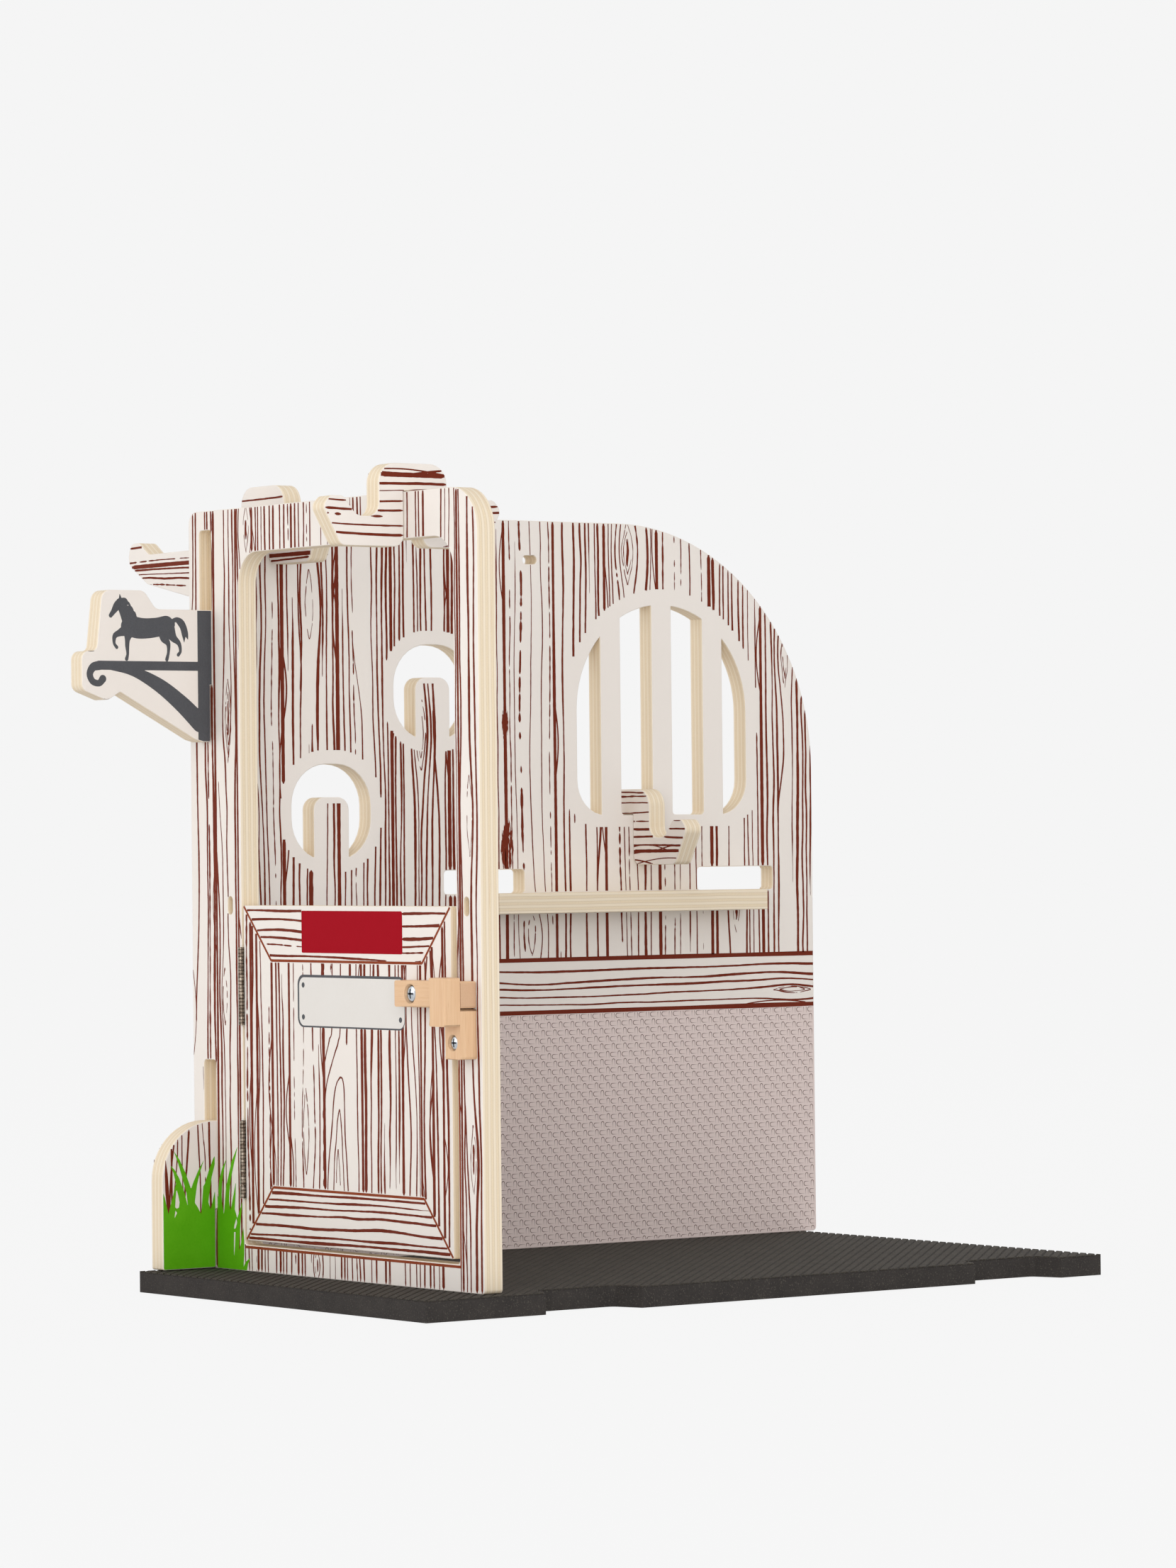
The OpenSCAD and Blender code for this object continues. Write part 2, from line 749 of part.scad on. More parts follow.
module window_hook() {
    y = window_y - window_bar / 2 - window_gap / 2 - board_t / 2 + window_hook_shift;
    color("linen") placed() front_board(y, board_t)
        translate([-board_t / 2, window_sill]) double_hook_2d();
}

// The saddle rack: a short arm indoors and a long tapering arm outdoors
module rack_2d() {
    translate([0, fit_gap])
        polygon(rounded(concat(short_arm(), [
            [-lobe_half, lobe_h, 9],
            [-lobe_half, -valley_depth - 3, 6],
            [-rack_reach + 19, -valley_depth - 3.6, 4],
            [-rack_reach + 10, -tip_depth - 6.3, 4],
            [-rack_reach + 2, -tip_depth - 6.3, 5],
            [-rack_reach - 1, -tip_depth - 16, 6],
            [-rack_reach + 17, -tip_depth - 27, 8],
            [-board_t / 2 - fit_gap - 6, -rack_slot_outer, 5],
            [-board_t / 2 - fit_gap, -rack_slot_outer, 2],
            [-board_t / 2 - fit_gap, 0, 0]]), 8));
}

module saddle_rack() {
    color("linen") placed() front_board(rack_y, board_t)
        translate([-board_t / 2, board_h]) rack_2d();
}

floor_mat();
front_panel();
side_wall();
shelf();
shelf_dowels();
door();
upper_frame_leaf();
lower_frame_leaf();
upper_door_leaf();
lower_door_leaf();
upper_hinge_pin();
lower_hinge_pin();
frame_leaf_screws();
door_leaf_screws();
latch_bar();
latch_screw();
latch_keeper();
keeper_screw();
bar_hook();
saddle_rack();
window_hook();
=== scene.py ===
"""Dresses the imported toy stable: printed plywood boards, beech latch, metal hinges and a ribbed foam mat.

Lengths that describe the stable are millimetres from its inner corner: X to the right along the front
panel, Y to the back along the side wall, Z up from the mat's top. They become metres only where a mesh is made.
"""

from __future__ import annotations

import logging
import math
from dataclasses import dataclass, field
from enum import Enum
from typing import Any, Callable, Iterable, Sequence

import bmesh
import bpy
import numpy as np
from mathutils import Matrix, Vector
from mathutils.geometry import delaunay_2d_cdt

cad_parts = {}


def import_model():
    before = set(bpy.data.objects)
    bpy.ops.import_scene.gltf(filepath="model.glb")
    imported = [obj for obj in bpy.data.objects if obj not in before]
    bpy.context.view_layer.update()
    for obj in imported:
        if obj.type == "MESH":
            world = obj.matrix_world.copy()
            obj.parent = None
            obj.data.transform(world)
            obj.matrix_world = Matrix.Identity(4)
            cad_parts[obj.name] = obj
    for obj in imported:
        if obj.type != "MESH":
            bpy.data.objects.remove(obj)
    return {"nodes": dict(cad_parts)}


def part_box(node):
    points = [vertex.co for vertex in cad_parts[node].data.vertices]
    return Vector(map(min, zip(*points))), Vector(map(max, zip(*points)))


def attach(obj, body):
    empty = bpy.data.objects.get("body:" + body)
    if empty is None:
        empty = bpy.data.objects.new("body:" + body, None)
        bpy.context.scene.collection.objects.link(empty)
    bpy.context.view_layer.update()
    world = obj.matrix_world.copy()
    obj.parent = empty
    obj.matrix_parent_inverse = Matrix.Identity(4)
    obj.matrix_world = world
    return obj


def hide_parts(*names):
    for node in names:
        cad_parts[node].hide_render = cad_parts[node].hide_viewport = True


LOG = logging.getLogger("stable")
MM = 0.001
CORNER = Vector((-0.109, -0.1606, 0.010))
BOARD = 10.0
INK_LIFT = 0.03
LAYERS = 17
LAYER = 0.0014
EASE = 0.35
ROUND_FACET = 1.5
CUT_PITCH = 24.0
FOOT_GRASS = (
    (-30.8, 38.7), (-29.4, 35.0), (-27.4, 27.0), (-25.4, 33.5), (-23.0, 41.2), (-24.3, 46.2), (-26.0, 50.0),
    (-23.5, 47.6), (-21.1, 43.5), (-18.6, 37.6), (-16.4, 30.0), (-17.2, 36.6), (-20.0, 45.6), (-22.1, 52.0),
    (-24.2, 57.0), (-20.7, 52.2), (-17.6, 46.0), (-14.6, 38.4), (-13.0, 42.0), (-10.5, 46.8), (-7.1, 52.1),
    (-9.2, 46.8), (-11.2, 40.2), (-12.4, 33.0), (-12.5, 31.6), (-11.0, 29.6), (-9.0, 26.1), (-8.3, 33.0),
    (-7.7, 39.3), (-6.8, 40.5), (-4.6, 46.4), (-1.9, 52.4), (1.0, 56.7), (-0.7, 50.8), (-2.9, 43.6),
    (-4.5, 34.4), (-4.9, 31.6), (-3.6, 27.9), (-2.5, 31.9), (-1.0, 37.7), (0.9, 41.7),
)  # fmt: skip
FOOT_GAPS = (
    ((-22.8, 38.7), (-23.3, 34.0), (-23.6, 30.1), (-22.7, 29.3), (-21.5, 29.8), (-21.1, 32.3), (-21.8, 35.7)),
    ((-23.5, 28.5), (-24.1, 24.5), (-22.5, 27.4)),
)
PANEL_GRASS = (
    (1.7, 33.8), (1.5, 37.8), (2.6, 43.0), (4.9, 47.8), (8.7, 52.4), (6.5, 47.2), (4.8, 41.0), (4.2, 35.0),
    (4.7, 30.6), (6.1, 25.9), (7.4, 34.2), (8.2, 39.3), (9.9, 43.2), (13.2, 51.4), (18.7, 58.9), (15.9, 52.0),
    (12.6, 43.4), (11.0, 36.5), (10.7, 32.3), (11.9, 27.9), (13.9, 33.4), (16.8, 42.2), (16.4, 36.0),
    (15.6, 28.7), (17.7, 24.6), (20.1, 28.9), (22.3, 32.8), (21.0, 26.0), (19.7, 16.0), (18.9, 9.1),
    (20.9, 13.0), (22.9, 20.6), (23.6, 14.0), (23.5, 7.7), (22.8, 1.8), (25.0, 4.4), (28.9, 6.5), (26.7, 3.4),
    (25.4, -0.6),
)  # fmt: skip
PANEL_GAPS = (
    ((16.9, 24.6), (15.1, 21.1), (14.7, 19.4), (16.2, 19.7), (17.6, 22.5)),
    ((14.8, 17.9), (14.6, 12.5), (14.5, 5.5), (15.6, 11.5), (16.1, 18.0)),
)
Depth = Callable[[np.ndarray, np.ndarray], np.ndarray]
Color = tuple[float, float, float]


def linear(red: int, green: int, blue: int) -> Color:
    """Turns a colour as it is seen on a screen into the light values that a shader takes.

    Args:
        red: Red from 0 to 255.
        green: Green from 0 to 255.
        blue: Blue from 0 to 255.

    Returns:
        The three linear values.
    """
    values = [c / 255 for c in (red, green, blue)]
    made = [c / 12.92 if c <= 0.04045 else ((c + 0.055) / 1.055) ** 2.4 for c in values]
    return (made[0], made[1], made[2])


class Side(Enum):
    """Which way a face of a board looks."""

    FRONT = "front"
    REAR = "rear"
    INNER = "inner"
    OUTER = "outer"


@dataclass(frozen=True)
class Face:
    """A flat face of a board, drawn on in board millimetres: X or Y across, Z up."""

    side: Side
    level: float

    @property
    def along_x(self) -> bool:
        """Whether the board stands along X, as the front panel does."""
        return self.side in (Side.FRONT, Side.REAR)

    @property
    def sign(self) -> int:
        """1 where the drawing's right hand is the board's growing coordinate, and -1 where it is not."""
        return 1 if self.side in (Side.FRONT, Side.INNER) else -1

    @property
    def normal(self) -> Vector:
        """The direction that the face looks in."""
        if self.along_x:
            return Vector((0, -self.sign, 0))
        return Vector((self.sign, 0, 0))

    def turn(self) -> Matrix:
        """The turn that lays a flat drawing on the face.

        Returns:
            A rotation whose third column is the face's normal.
        """
        right = Vector((self.sign, 0, 0)) if self.along_x else Vector((0, self.sign, 0))
        return Matrix((right, Vector((0, 0, 1)), self.normal)).transposed()

    def origin(self, lift: float) -> Vector:
        """The point where a drawing's zero lands.

        Args:
            lift: How far the drawing stands proud of the face, in millimetres.

        Returns:
            The point in metres.
        """
        base = Vector((0, self.level, 0)) if self.along_x else Vector((self.level, 0, 0))
        return CORNER + (base + self.normal * lift) * MM

    def across(self, points: np.ndarray) -> np.ndarray:
        """The board coordinate of points in metres.

        Args:
            points: Points in the row frame, one a row.

        Returns:
            X or Y from the inner corner, in millimetres.
        """
        axis = 0 if self.along_x else 1
        return (points[:, axis] - CORNER[axis]) / MM


class Graph:
    """A node tree under construction."""

    def __init__(self, tree: bpy.types.NodeTree) -> None:
        """Starts on an empty tree.

        Args:
            tree: The tree that takes the nodes.
        """
        self.tree = tree
        self.count = 0

    def add(self, kind: str, values: dict[Any, Any] | None = None, **settings: Any) -> bpy.types.Node:
        """Adds a node.

        Args:
            kind: The node's type name.
            values: Inputs by name or number. A socket is linked, and anything else is set.
            settings: Properties of the node.

        Returns:
            The node.
        """
        node = self.tree.nodes.new(kind)
        node.location = (180 * (self.count % 12), -220 * (self.count // 12))
        self.count += 1
        for name, value in settings.items():
            setattr(node, name, value)
        for key, value in (values or {}).items():
            if isinstance(value, bpy.types.NodeSocket):
                self.tree.links.new(value, node.inputs[key])
            else:
                node.inputs[key].default_value = value
        return node

    def math(self, operation: str, first: Any, second: Any = 0.0, third: Any = 0.0) -> bpy.types.NodeSocket:
        """Adds a math node.

        Args:
            operation: The node's operation.
            first: First value or socket.
            second: Second value or socket.
            third: Third value or socket.

        Returns:
            The node's result.
        """
        values = {0: first, 1: second, 2: third}
        return self.add("ShaderNodeMath", values, operation=operation).outputs[0]

    def mix(self, share: Any, first: Any, second: Any) -> bpy.types.NodeSocket:
        """Mixes two colours.

        Args:
            share: How much of the second colour shows.
            first: First colour or socket.
            second: Second colour or socket.

        Returns:
            The mixed colour.
        """
        first, second = (
            (*c, 1.0) if isinstance(c, tuple) and len(c) == 3 else c for c in (first, second)
        )
        node = self.add("ShaderNodeMix", {0: share, 6: first, 7: second}, data_type="RGBA")
        return node.outputs[2]

    def spread(self, value: Any, low: float, high: float, to_low: float, to_high: float) -> bpy.types.NodeSocket:
        """Maps a range of values onto another, clamped.

        Args:
            value: The value or socket.
            low: Start of its range.
            high: End of its range.
            to_low: What the start becomes.
            to_high: What the end becomes.

        Returns:
            The mapped value.
        """
        values = {0: value, 1: low, 2: high, 3: to_low, 4: to_high}
        return self.add("ShaderNodeMapRange", values).outputs[0]

    def noise(self, vector: Any, scale: Any, detail: float = 2.0, roughness: float = 0.5) -> bpy.types.NodeSocket:
        """Adds a noise texture.

        Args:
            vector: The coordinates it reads.
            scale: Its scale.
            detail: Octaves of detail.
            roughness: Share of each next octave.

        Returns:
            The noise value from 0 to 1.
        """
        values = {"Vector": vector, "Scale": scale, "Detail": detail, "Roughness": roughness}
        return self.add("ShaderNodeTexNoise", values).outputs[0]

    def scaled(self, vector: Any, factors: Any) -> bpy.types.NodeSocket:
        """Multiplies a vector by another, axis by axis."""
        return self.add("ShaderNodeVectorMath", {0: vector, 1: factors}, operation="MULTIPLY").outputs[0]

    def dot(self, vector: Any, other: Any) -> bpy.types.NodeSocket:
        """Multiplies two vectors into one number."""
        return self.add("ShaderNodeVectorMath", {0: vector, 1: other}, operation="DOT_PRODUCT").outputs[1]


def shader_group(
    name: str, takes: Sequence[tuple[str, str]], gives: Sequence[tuple[str, str]]
) -> tuple[Graph, bpy.types.Node, bpy.types.Node]:
    """Starts a shader node group with named sockets.

    Args:
        name: The group's name.
        takes: Name and kind of each input.
        gives: Name and kind of each output.

    Returns:
        The graph, its input node and its output node.
    """
    tree = bpy.data.node_groups.new(name, "ShaderNodeTree")
    for way, sockets in (("INPUT", takes), ("OUTPUT", gives)):
        for label, kind in sockets:
            tree.interface.new_socket(label, in_out=way, socket_type=f"NodeSocket{kind}")
    graph = Graph(tree)
    return graph, graph.add("NodeGroupInput"), graph.add("NodeGroupOutput")


class Effects:
    """The surface effects that several finishes share, each a node group built once."""

    def __init__(self) -> None:
        """Builds the groups."""
        self.mottle = self._mottle()
        self.fibres = self._fibres()
        self.veneers = self._veneers()

    def _mottle(self) -> bpy.types.NodeTree:
        """Builds the soft unevenness that paint, ink and foam have.

        Returns:
            A group that gives a factor around 1 and a height.
        """
        graph, taken, given = shader_group(
            "Mottle",
            [("Vector", "Vector"), ("Scale", "Float"), ("Amount", "Float")],
            [("Factor", "Float"), ("Height", "Float")],
        )
        wide = graph.noise(taken.outputs["Vector"], taken.outputs["Scale"], 3.0, 0.6)
        fine = graph.noise(taken.outputs["Vector"], graph.math("MULTIPLY", taken.outputs["Scale"], 14.0), 2.0)
        both = graph.math("ADD", graph.math("MULTIPLY", wide, 0.6), graph.math("MULTIPLY", fine, 0.4))
        centred = graph.math("SUBTRACT", both, 0.5)
        factor = graph.math("MULTIPLY_ADD", centred, graph.math("MULTIPLY", taken.outputs["Amount"], 2.0), 1.0)
        graph.tree.links.new(factor, given.inputs["Factor"])
        graph.tree.links.new(fine, given.inputs["Height"])
        return graph.tree

    def _fibres(self) -> bpy.types.NodeTree:
        """Builds wood fibres: streaks that are long one way and narrow the other two.

        Returns:
            A group that gives streaks and short dark pores, both from 0 to 1.
        """
        graph, taken, given = shader_group(
            "Fibres",
            [("Vector", "Vector"), ("Stretch", "Vector"), ("Pores", "Float")],
            [("Streaks", "Float"), ("Pores", "Float")],
        )
        stretched = graph.scaled(taken.outputs["Vector"], taken.outputs["Stretch"])
        streaks = graph.noise(stretched, 1.0, 4.0, 0.62)
        pores = graph.noise(stretched, 3.1, 1.0, 0.4)
        cut = graph.spread(pores, 0.66, 0.74, 0.0, 1.0)
        graph.tree.links.new(graph.spread(streaks, 0.3, 0.7, 0.0, 1.0), given.inputs["Streaks"])
        graph.tree.links.new(graph.math("MULTIPLY", cut, taken.outputs["Pores"]), given.inputs["Pores"])
        return graph.tree

    def _veneers(self) -> bpy.types.NodeTree:
        """Builds the cut edge of plywood: veneers that lie turn about, with thin glue lines between.

        Returns:
            A group that gives the edge's colour and height.
        """
        graph, taken, given = shader_group(
            "Veneers",
            [("Vector", "Vector"), ("Share", "Float"), ("Count", "Float")],
            [("Color", "Color"), ("Height", "Float")],
        )
        vector, count = taken.outputs["Vector"], taken.outputs["Count"]
        sway = graph.math("MULTIPLY", graph.math("SUBTRACT", graph.noise(vector, 28.0, 1.0), 0.5), 0.045)
        layer = graph.math("MULTIPLY", graph.math("ADD", taken.outputs["Share"], sway), count)
        within = graph.math("FRACT", layer)
        turned = graph.math("GREATER_THAN", graph.math("FRACT", graph.math("MULTIPLY", layer, 0.5)), 0.5)
        line = graph.math("SUBTRACT", 0.5, graph.math("ABSOLUTE", graph.math("SUBTRACT", within, 0.5)))
        glue = graph.spread(line, 0.02, 0.12, 1.0, 0.0)
        deep = graph.math("MULTIPLY", taken.outputs["Share"], 26.0)
        stretched = graph.scaled(vector, (60.0, 60.0, 60.0))
        packed = graph.add("ShaderNodeCombineXYZ", {0: deep}).outputs[0]
        strand = graph.add("ShaderNodeVectorMath", {0: stretched, 1: packed}, operation="ADD").outputs[0]
        streaks = graph.noise(strand, 1.0, 4.0, 0.65)
        ends = graph.noise(vector, 1900.0, 2.0, 0.6)
        long_grain = graph.mix(streaks, linear(232, 216, 190), linear(240, 227, 206))
        end_grain = graph.mix(ends, linear(221, 202, 171), linear(238, 222, 195))
        wood = graph.mix(turned, long_grain, end_grain)
        stain = graph.spread(graph.noise(graph.scaled(strand, (0.35, 0.35, 0.35)), 1.0, 2.0), 0.68, 0.8, 0.0, 0.55)
        stained = graph.mix(graph.math("MULTIPLY", stain, turned), wood, linear(186, 138, 98))
        glued = graph.mix(graph.math("MULTIPLY", glue, 0.34), stained, linear(178, 150, 118))
        rough = graph.math("MULTIPLY", ends, graph.math("MULTIPLY_ADD", turned, 0.6, 0.25))
        height = graph.math("SUBTRACT", rough, graph.math("MULTIPLY", glue, 0.5))
        graph.tree.links.new(glued, given.inputs["Color"])
        graph.tree.links.new(height, given.inputs["Height"])
        return graph.tree


def new_material(name: str) -> tuple[bpy.types.Material, Graph, bpy.types.NodeSocket, bpy.types.Node]:
    """Starts a material with an empty node tree.

    Args:
        name: The material's name.

    Returns:
        The material, its graph, its object coordinates and its main shader.
    """
    material = bpy.data.materials.new(name)
    material.use_nodes = True
    material.node_tree.nodes.clear()
    graph = Graph(material.node_tree)
    coordinates = graph.add("ShaderNodeTexCoord").outputs["Object"]
    shader = graph.add("ShaderNodeBsdfPrincipled")
    out = graph.add("ShaderNodeOutputMaterial")
    graph.tree.links.new(shader.outputs[0], out.inputs["Surface"])
    return material, graph, coordinates, shader


def add_bump(graph: Graph, shader: bpy.types.Node, height: Any, strength: float, distance: float) -> None:
    """Gives a shader fine relief.

    Args:
        graph: The material's graph.
        shader: The shader that gets the relief.
        height: The height, from 0 to 1.
        strength: How strongly it shows.
        distance: How deep it is, in metres.
    """
    bump = graph.add("ShaderNodeBump", {"Strength": strength, "Distance": distance, "Height": height})
    graph.tree.links.new(bump.outputs[0], shader.inputs["Normal"])


@dataclass(frozen=True)
class PaintedPly:
    """Off-white paint on a board's two faces and bare veneers on its cut edges."""

    name: str
    across_x: bool
    middle: float
    effects: Effects
    base_top: float = 0.0

    def build(self) -> bpy.types.Material:
        """Makes the material.

        Returns:
            The material for one board.
        """
        material, graph, where, shader = new_material(self.name)
        axis = (1.0, 0.0, 0.0) if self.across_x else (0.0, 1.0, 0.0)
        corner = CORNER[0] if self.across_x else CORNER[1]
        offset = graph.math("SUBTRACT", graph.dot(where, axis), corner + self.middle * MM)
        share = graph.math("MULTIPLY_ADD", offset, 1 / (BOARD * MM), 0.5)
        painted = graph.math("GREATER_THAN", graph.math("ABSOLUTE", offset), (BOARD / 2 - 0.13) * MM)
        veneer = graph.add("ShaderNodeGroup", node_tree=self.effects.veneers)
        graph.tree.links.new(where, veneer.inputs["Vector"])
        graph.tree.links.new(share, veneer.inputs["Share"])
        veneer.inputs["Count"].default_value = 7.0
        mottle = graph.add("ShaderNodeGroup", node_tree=self.effects.mottle)
        graph.tree.links.new(where, mottle.inputs["Vector"])
        mottle.inputs["Scale"].default_value = 60.0
        mottle.inputs["Amount"].default_value = 0.03
        paint: Any = linear(236, 229, 222)
        if self.base_top:
            inner = graph.math("GREATER_THAN", offset, 0.0)
            low = graph.math("LESS_THAN", graph.dot(where, (0.0, 0.0, 1.0)), CORNER[2] + self.base_top * MM)
            behind = graph.math("GREATER_THAN", graph.dot(where, (0.0, 1.0, 0.0)), CORNER[1] + BOARD * MM)
            marked = graph.math("MULTIPLY", inner, graph.math("MULTIPLY", low, behind))
            paint = graph.mix(marked, paint, linear(221, 203, 199))
        toned = graph.mix(graph.spread(mottle.outputs["Factor"], 0.97, 1.03, 0.35, 0.0), paint, linear(228, 219, 211))
        color = graph.mix(painted, veneer.outputs["Color"], toned)
        graph.tree.links.new(color, shader.inputs["Base Color"])
        graph.tree.links.new(graph.spread(painted, 0.0, 1.0, 0.62, 0.46), shader.inputs["Roughness"])
        skin = graph.math("MULTIPLY", mottle.outputs["Height"], 0.5)
        height = graph.add("ShaderNodeMix", {0: painted, 2: veneer.outputs["Height"], 3: skin}).outputs[0]
        add_bump(graph, shader, height, 0.5, 0.00012)
        return material


@dataclass(frozen=True)
class BarePly:
    """Sanded plywood: face grain above and below, stacked veneers on the front and at the ends."""

    name: str
    low: float
    effects: Effects

    def build(self) -> bpy.types.Material:
        """Makes the material.

        Returns:
            The material for the shelf rail.
        """
        material, graph, where, shader = new_material(self.name)
        up = graph.math("SUBTRACT", graph.dot(where, (0.0, 0.0, 1.0)), CORNER[2] + self.low * MM)
        share = graph.math("MULTIPLY", up, 1 / (BOARD * MM))
        far = graph.math("ABSOLUTE", graph.math("SUBTRACT", share, 0.5))
        facing = graph.math("GREATER_THAN", far, 0.487)
        veneer = graph.add("ShaderNodeGroup", node_tree=self.effects.veneers)
        graph.tree.links.new(where, veneer.inputs["Vector"])
        graph.tree.links.new(share, veneer.inputs["Share"])
        veneer.inputs["Count"].default_value = 7.0
        fibres = graph.add("ShaderNodeGroup", node_tree=self.effects.fibres)
        graph.tree.links.new(where, fibres.inputs["Vector"])
        fibres.inputs["Stretch"].default_value = (380.0, 14.0, 380.0)
        fibres.inputs["Pores"].default_value = 0.3
        sheet = graph.mix(fibres.outputs["Streaks"], linear(224, 203, 168), linear(240, 226, 198))
        color = graph.mix(facing, veneer.outputs["Color"], sheet)
        graph.tree.links.new(color, shader.inputs["Base Color"])
        shader.inputs["Roughness"].default_value = 0.6
        add_bump(graph, shader, veneer.outputs["Height"], 0.45, 0.00012)
        return material


@dataclass(frozen=True)
class Beech:
    """Sanded beech with fine flecks, and end grain past a given place along the grain."""

    name: str
    along: tuple[float, float, float]
    ends: tuple[float, float]
    effects: Effects

    def build(self) -> bpy.types.Material:
        """Makes the material.

        Returns:
            The material for one beech piece.
        """
        material, graph, where, shader = new_material(self.name)
        stretch = tuple(40.0 if a else 1500.0 for a in self.along)
        fibres = graph.add("ShaderNodeGroup", node_tree=self.effects.fibres)
        graph.tree.links.new(where, fibres.inputs["Vector"])
        fibres.inputs["Stretch"].default_value = stretch
        fibres.inputs["Pores"].default_value = 0.8
        wide = graph.noise(graph.scaled(where, tuple(25.0 if a else 260.0 for a in self.along)), 1.0, 2.0)
        tone = graph.mix(wide, linear(214, 169, 127), linear(226, 188, 147))
        streaked = graph.mix(graph.math("MULTIPLY", fibres.outputs["Streaks"], 0.4), tone, linear(238, 206, 171))
        flecked = graph.mix(graph.math("MULTIPLY", fibres.outputs["Pores"], 0.45), streaked, linear(190, 138, 96))
        place = graph.dot(where, self.along)
        before = graph.math("LESS_THAN", place, self.ends[0])
        after = graph.math("GREATER_THAN", place, self.ends[1])
        end = graph.math("MAXIMUM", before, after)
        dots = graph.noise(where, 2600.0, 2.0, 0.7)
        rings = graph.noise(graph.scaled(where, (500.0, 500.0, 160.0)), 1.0, 1.0)
        grainy = graph.mix(dots, linear(192, 150, 116), linear(222, 186, 152))
        end_color = graph.mix(graph.math("MULTIPLY", rings, 0.5), grainy, linear(205, 165, 130))
        color = graph.mix(end, flecked, end_color)
        graph.tree.links.new(color, shader.inputs["Base Color"])
        graph.tree.links.new(graph.spread(end, 0.0, 1.0, 0.48, 0.66), shader.inputs["Roughness"])
        height = graph.math("SUBTRACT", graph.math("MULTIPLY", fibres.outputs["Streaks"], 0.5), fibres.outputs["Pores"])
        add_bump(graph, shader, height, 0.3, 0.00006)
        return material


@dataclass(frozen=True)
class Foam:
    """Dark matte foam, with fine teeth across its ribs; the ribs get a lighter colour as painted light on the mat's
    top, and the teeth's troughs carry painted shade.
    """

    name: str
    ribbed_and_lit: bool
    effects: Effects

    def build(self) -> bpy.types.Material:
        """Makes the material.

        Returns:
            The material for the mat's body or for its ribs.
        """
        material, graph, where, shader = new_material(self.name)
        mottle = graph.add("ShaderNodeGroup", node_tree=self.effects.mottle)
        graph.tree.links.new(where, mottle.inputs["Vector"])
        mottle.inputs["Scale"].default_value = 90.0
        mottle.inputs["Amount"].default_value = 0.25
        specks = graph.spread(graph.noise(where, 1500.0, 1.0, 0.5), 0.60, 0.72, 0.0, 0.55)
        # The ribs' lighter colours are painted light: the mat's top lit from above, against its shaded sides.
        dark = linear(62, 58, 54) if self.ribbed_and_lit else linear(50, 47, 46)
        light = linear(80, 75, 68) if self.ribbed_and_lit else linear(66, 62, 59)
        base = graph.mix(graph.spread(mottle.outputs["Factor"], 0.9, 1.1, 0.0, 0.8), dark, light)
        color = graph.mix(specks, base, linear(96, 92, 84))
        if self.ribbed_and_lit:
            run = graph.dot(where, (-math.pi * 1000, math.pi * 1000, 0.0))
            teeth = graph.math("SINE", run)
            # Painted shade: the troughs of the teeth are darkened; the teeth's relief itself comes from the bump.
            color = graph.mix(graph.spread(teeth, -1.0, 1.0, 0.35, 0.0), color, linear(44, 41, 38))
            height: Any = graph.math("MULTIPLY_ADD", teeth, 0.5, mottle.outputs["Height"])
        else:
            height = graph.math("ADD", mottle.outputs["Height"], specks)
        graph.tree.links.new(color, shader.inputs["Base Color"])
        shader.inputs["Roughness"].default_value = 0.86
        shader.inputs["Specular IOR Level"].default_value = 0.15
        add_bump(graph, shader, height, 0.5, 0.00016)
        return material


@dataclass(frozen=True)
class Metal:
    """Plated metal with a fine patina, with dark rings of painted shade for fine grooves and painted shade in recesses,
    where it has them.
    """

    name: str
    bright: Color
    dull: Color
    rough: float
    patina: float
    effects: Effects
    groove_shade_pitch: float = 0.0
    recess_shade_from: float | None = None

    def build(self) -> bpy.types.Material:
        """Makes the material.

        Returns:
            The material.
        """
        material, graph, where, shader = new_material(self.name)
        mottle = graph.add("ShaderNodeGroup", node_tree=self.effects.mottle)
        graph.tree.links.new(where, mottle.inputs["Vector"])
        mottle.inputs["Scale"].default_value = 420.0
        mottle.inputs["Amount"].default_value = 0.5
        worn = graph.spread(mottle.outputs["Factor"], 0.86, 1.14, 0.0, self.patina)
        color = graph.mix(worn, self.bright, self.dull)
        if self.groove_shade_pitch:
            # Painted shade: dark rings at the groove pitch stand in for the shade inside fine grooves round the barrel.
            wave = graph.math("SINE", graph.dot(where, (0.0, 0.0, 2 * math.pi / (self.groove_shade_pitch * MM))))
            color = graph.mix(graph.spread(wave, 0.1, 0.9, 0.0, 0.8), color, linear(52, 42, 34))
        if self.recess_shade_from is not None:
            # Painted shade: the metal turns dark behind the given depth, where a recess lies in shade.
            front = CORNER[1] + self.recess_shade_from * MM
            back = graph.dot(where, (0.0, 1.0, 0.0))
            color = graph.mix(graph.spread(back, front, front + 0.5 * MM, 0.0, 0.92), color, linear(44, 42, 42))
        graph.tree.links.new(color, shader.inputs["Base Color"])
        rough = graph.spread(mottle.outputs["Factor"], 0.8, 1.2, self.rough - 0.05, self.rough + 0.1)
        graph.tree.links.new(rough, shader.inputs["Roughness"])
        shader.inputs["Metallic"].default_value = 1.0
        add_bump(graph, shader, mottle.outputs["Height"], 0.2, 0.00004)
        return material


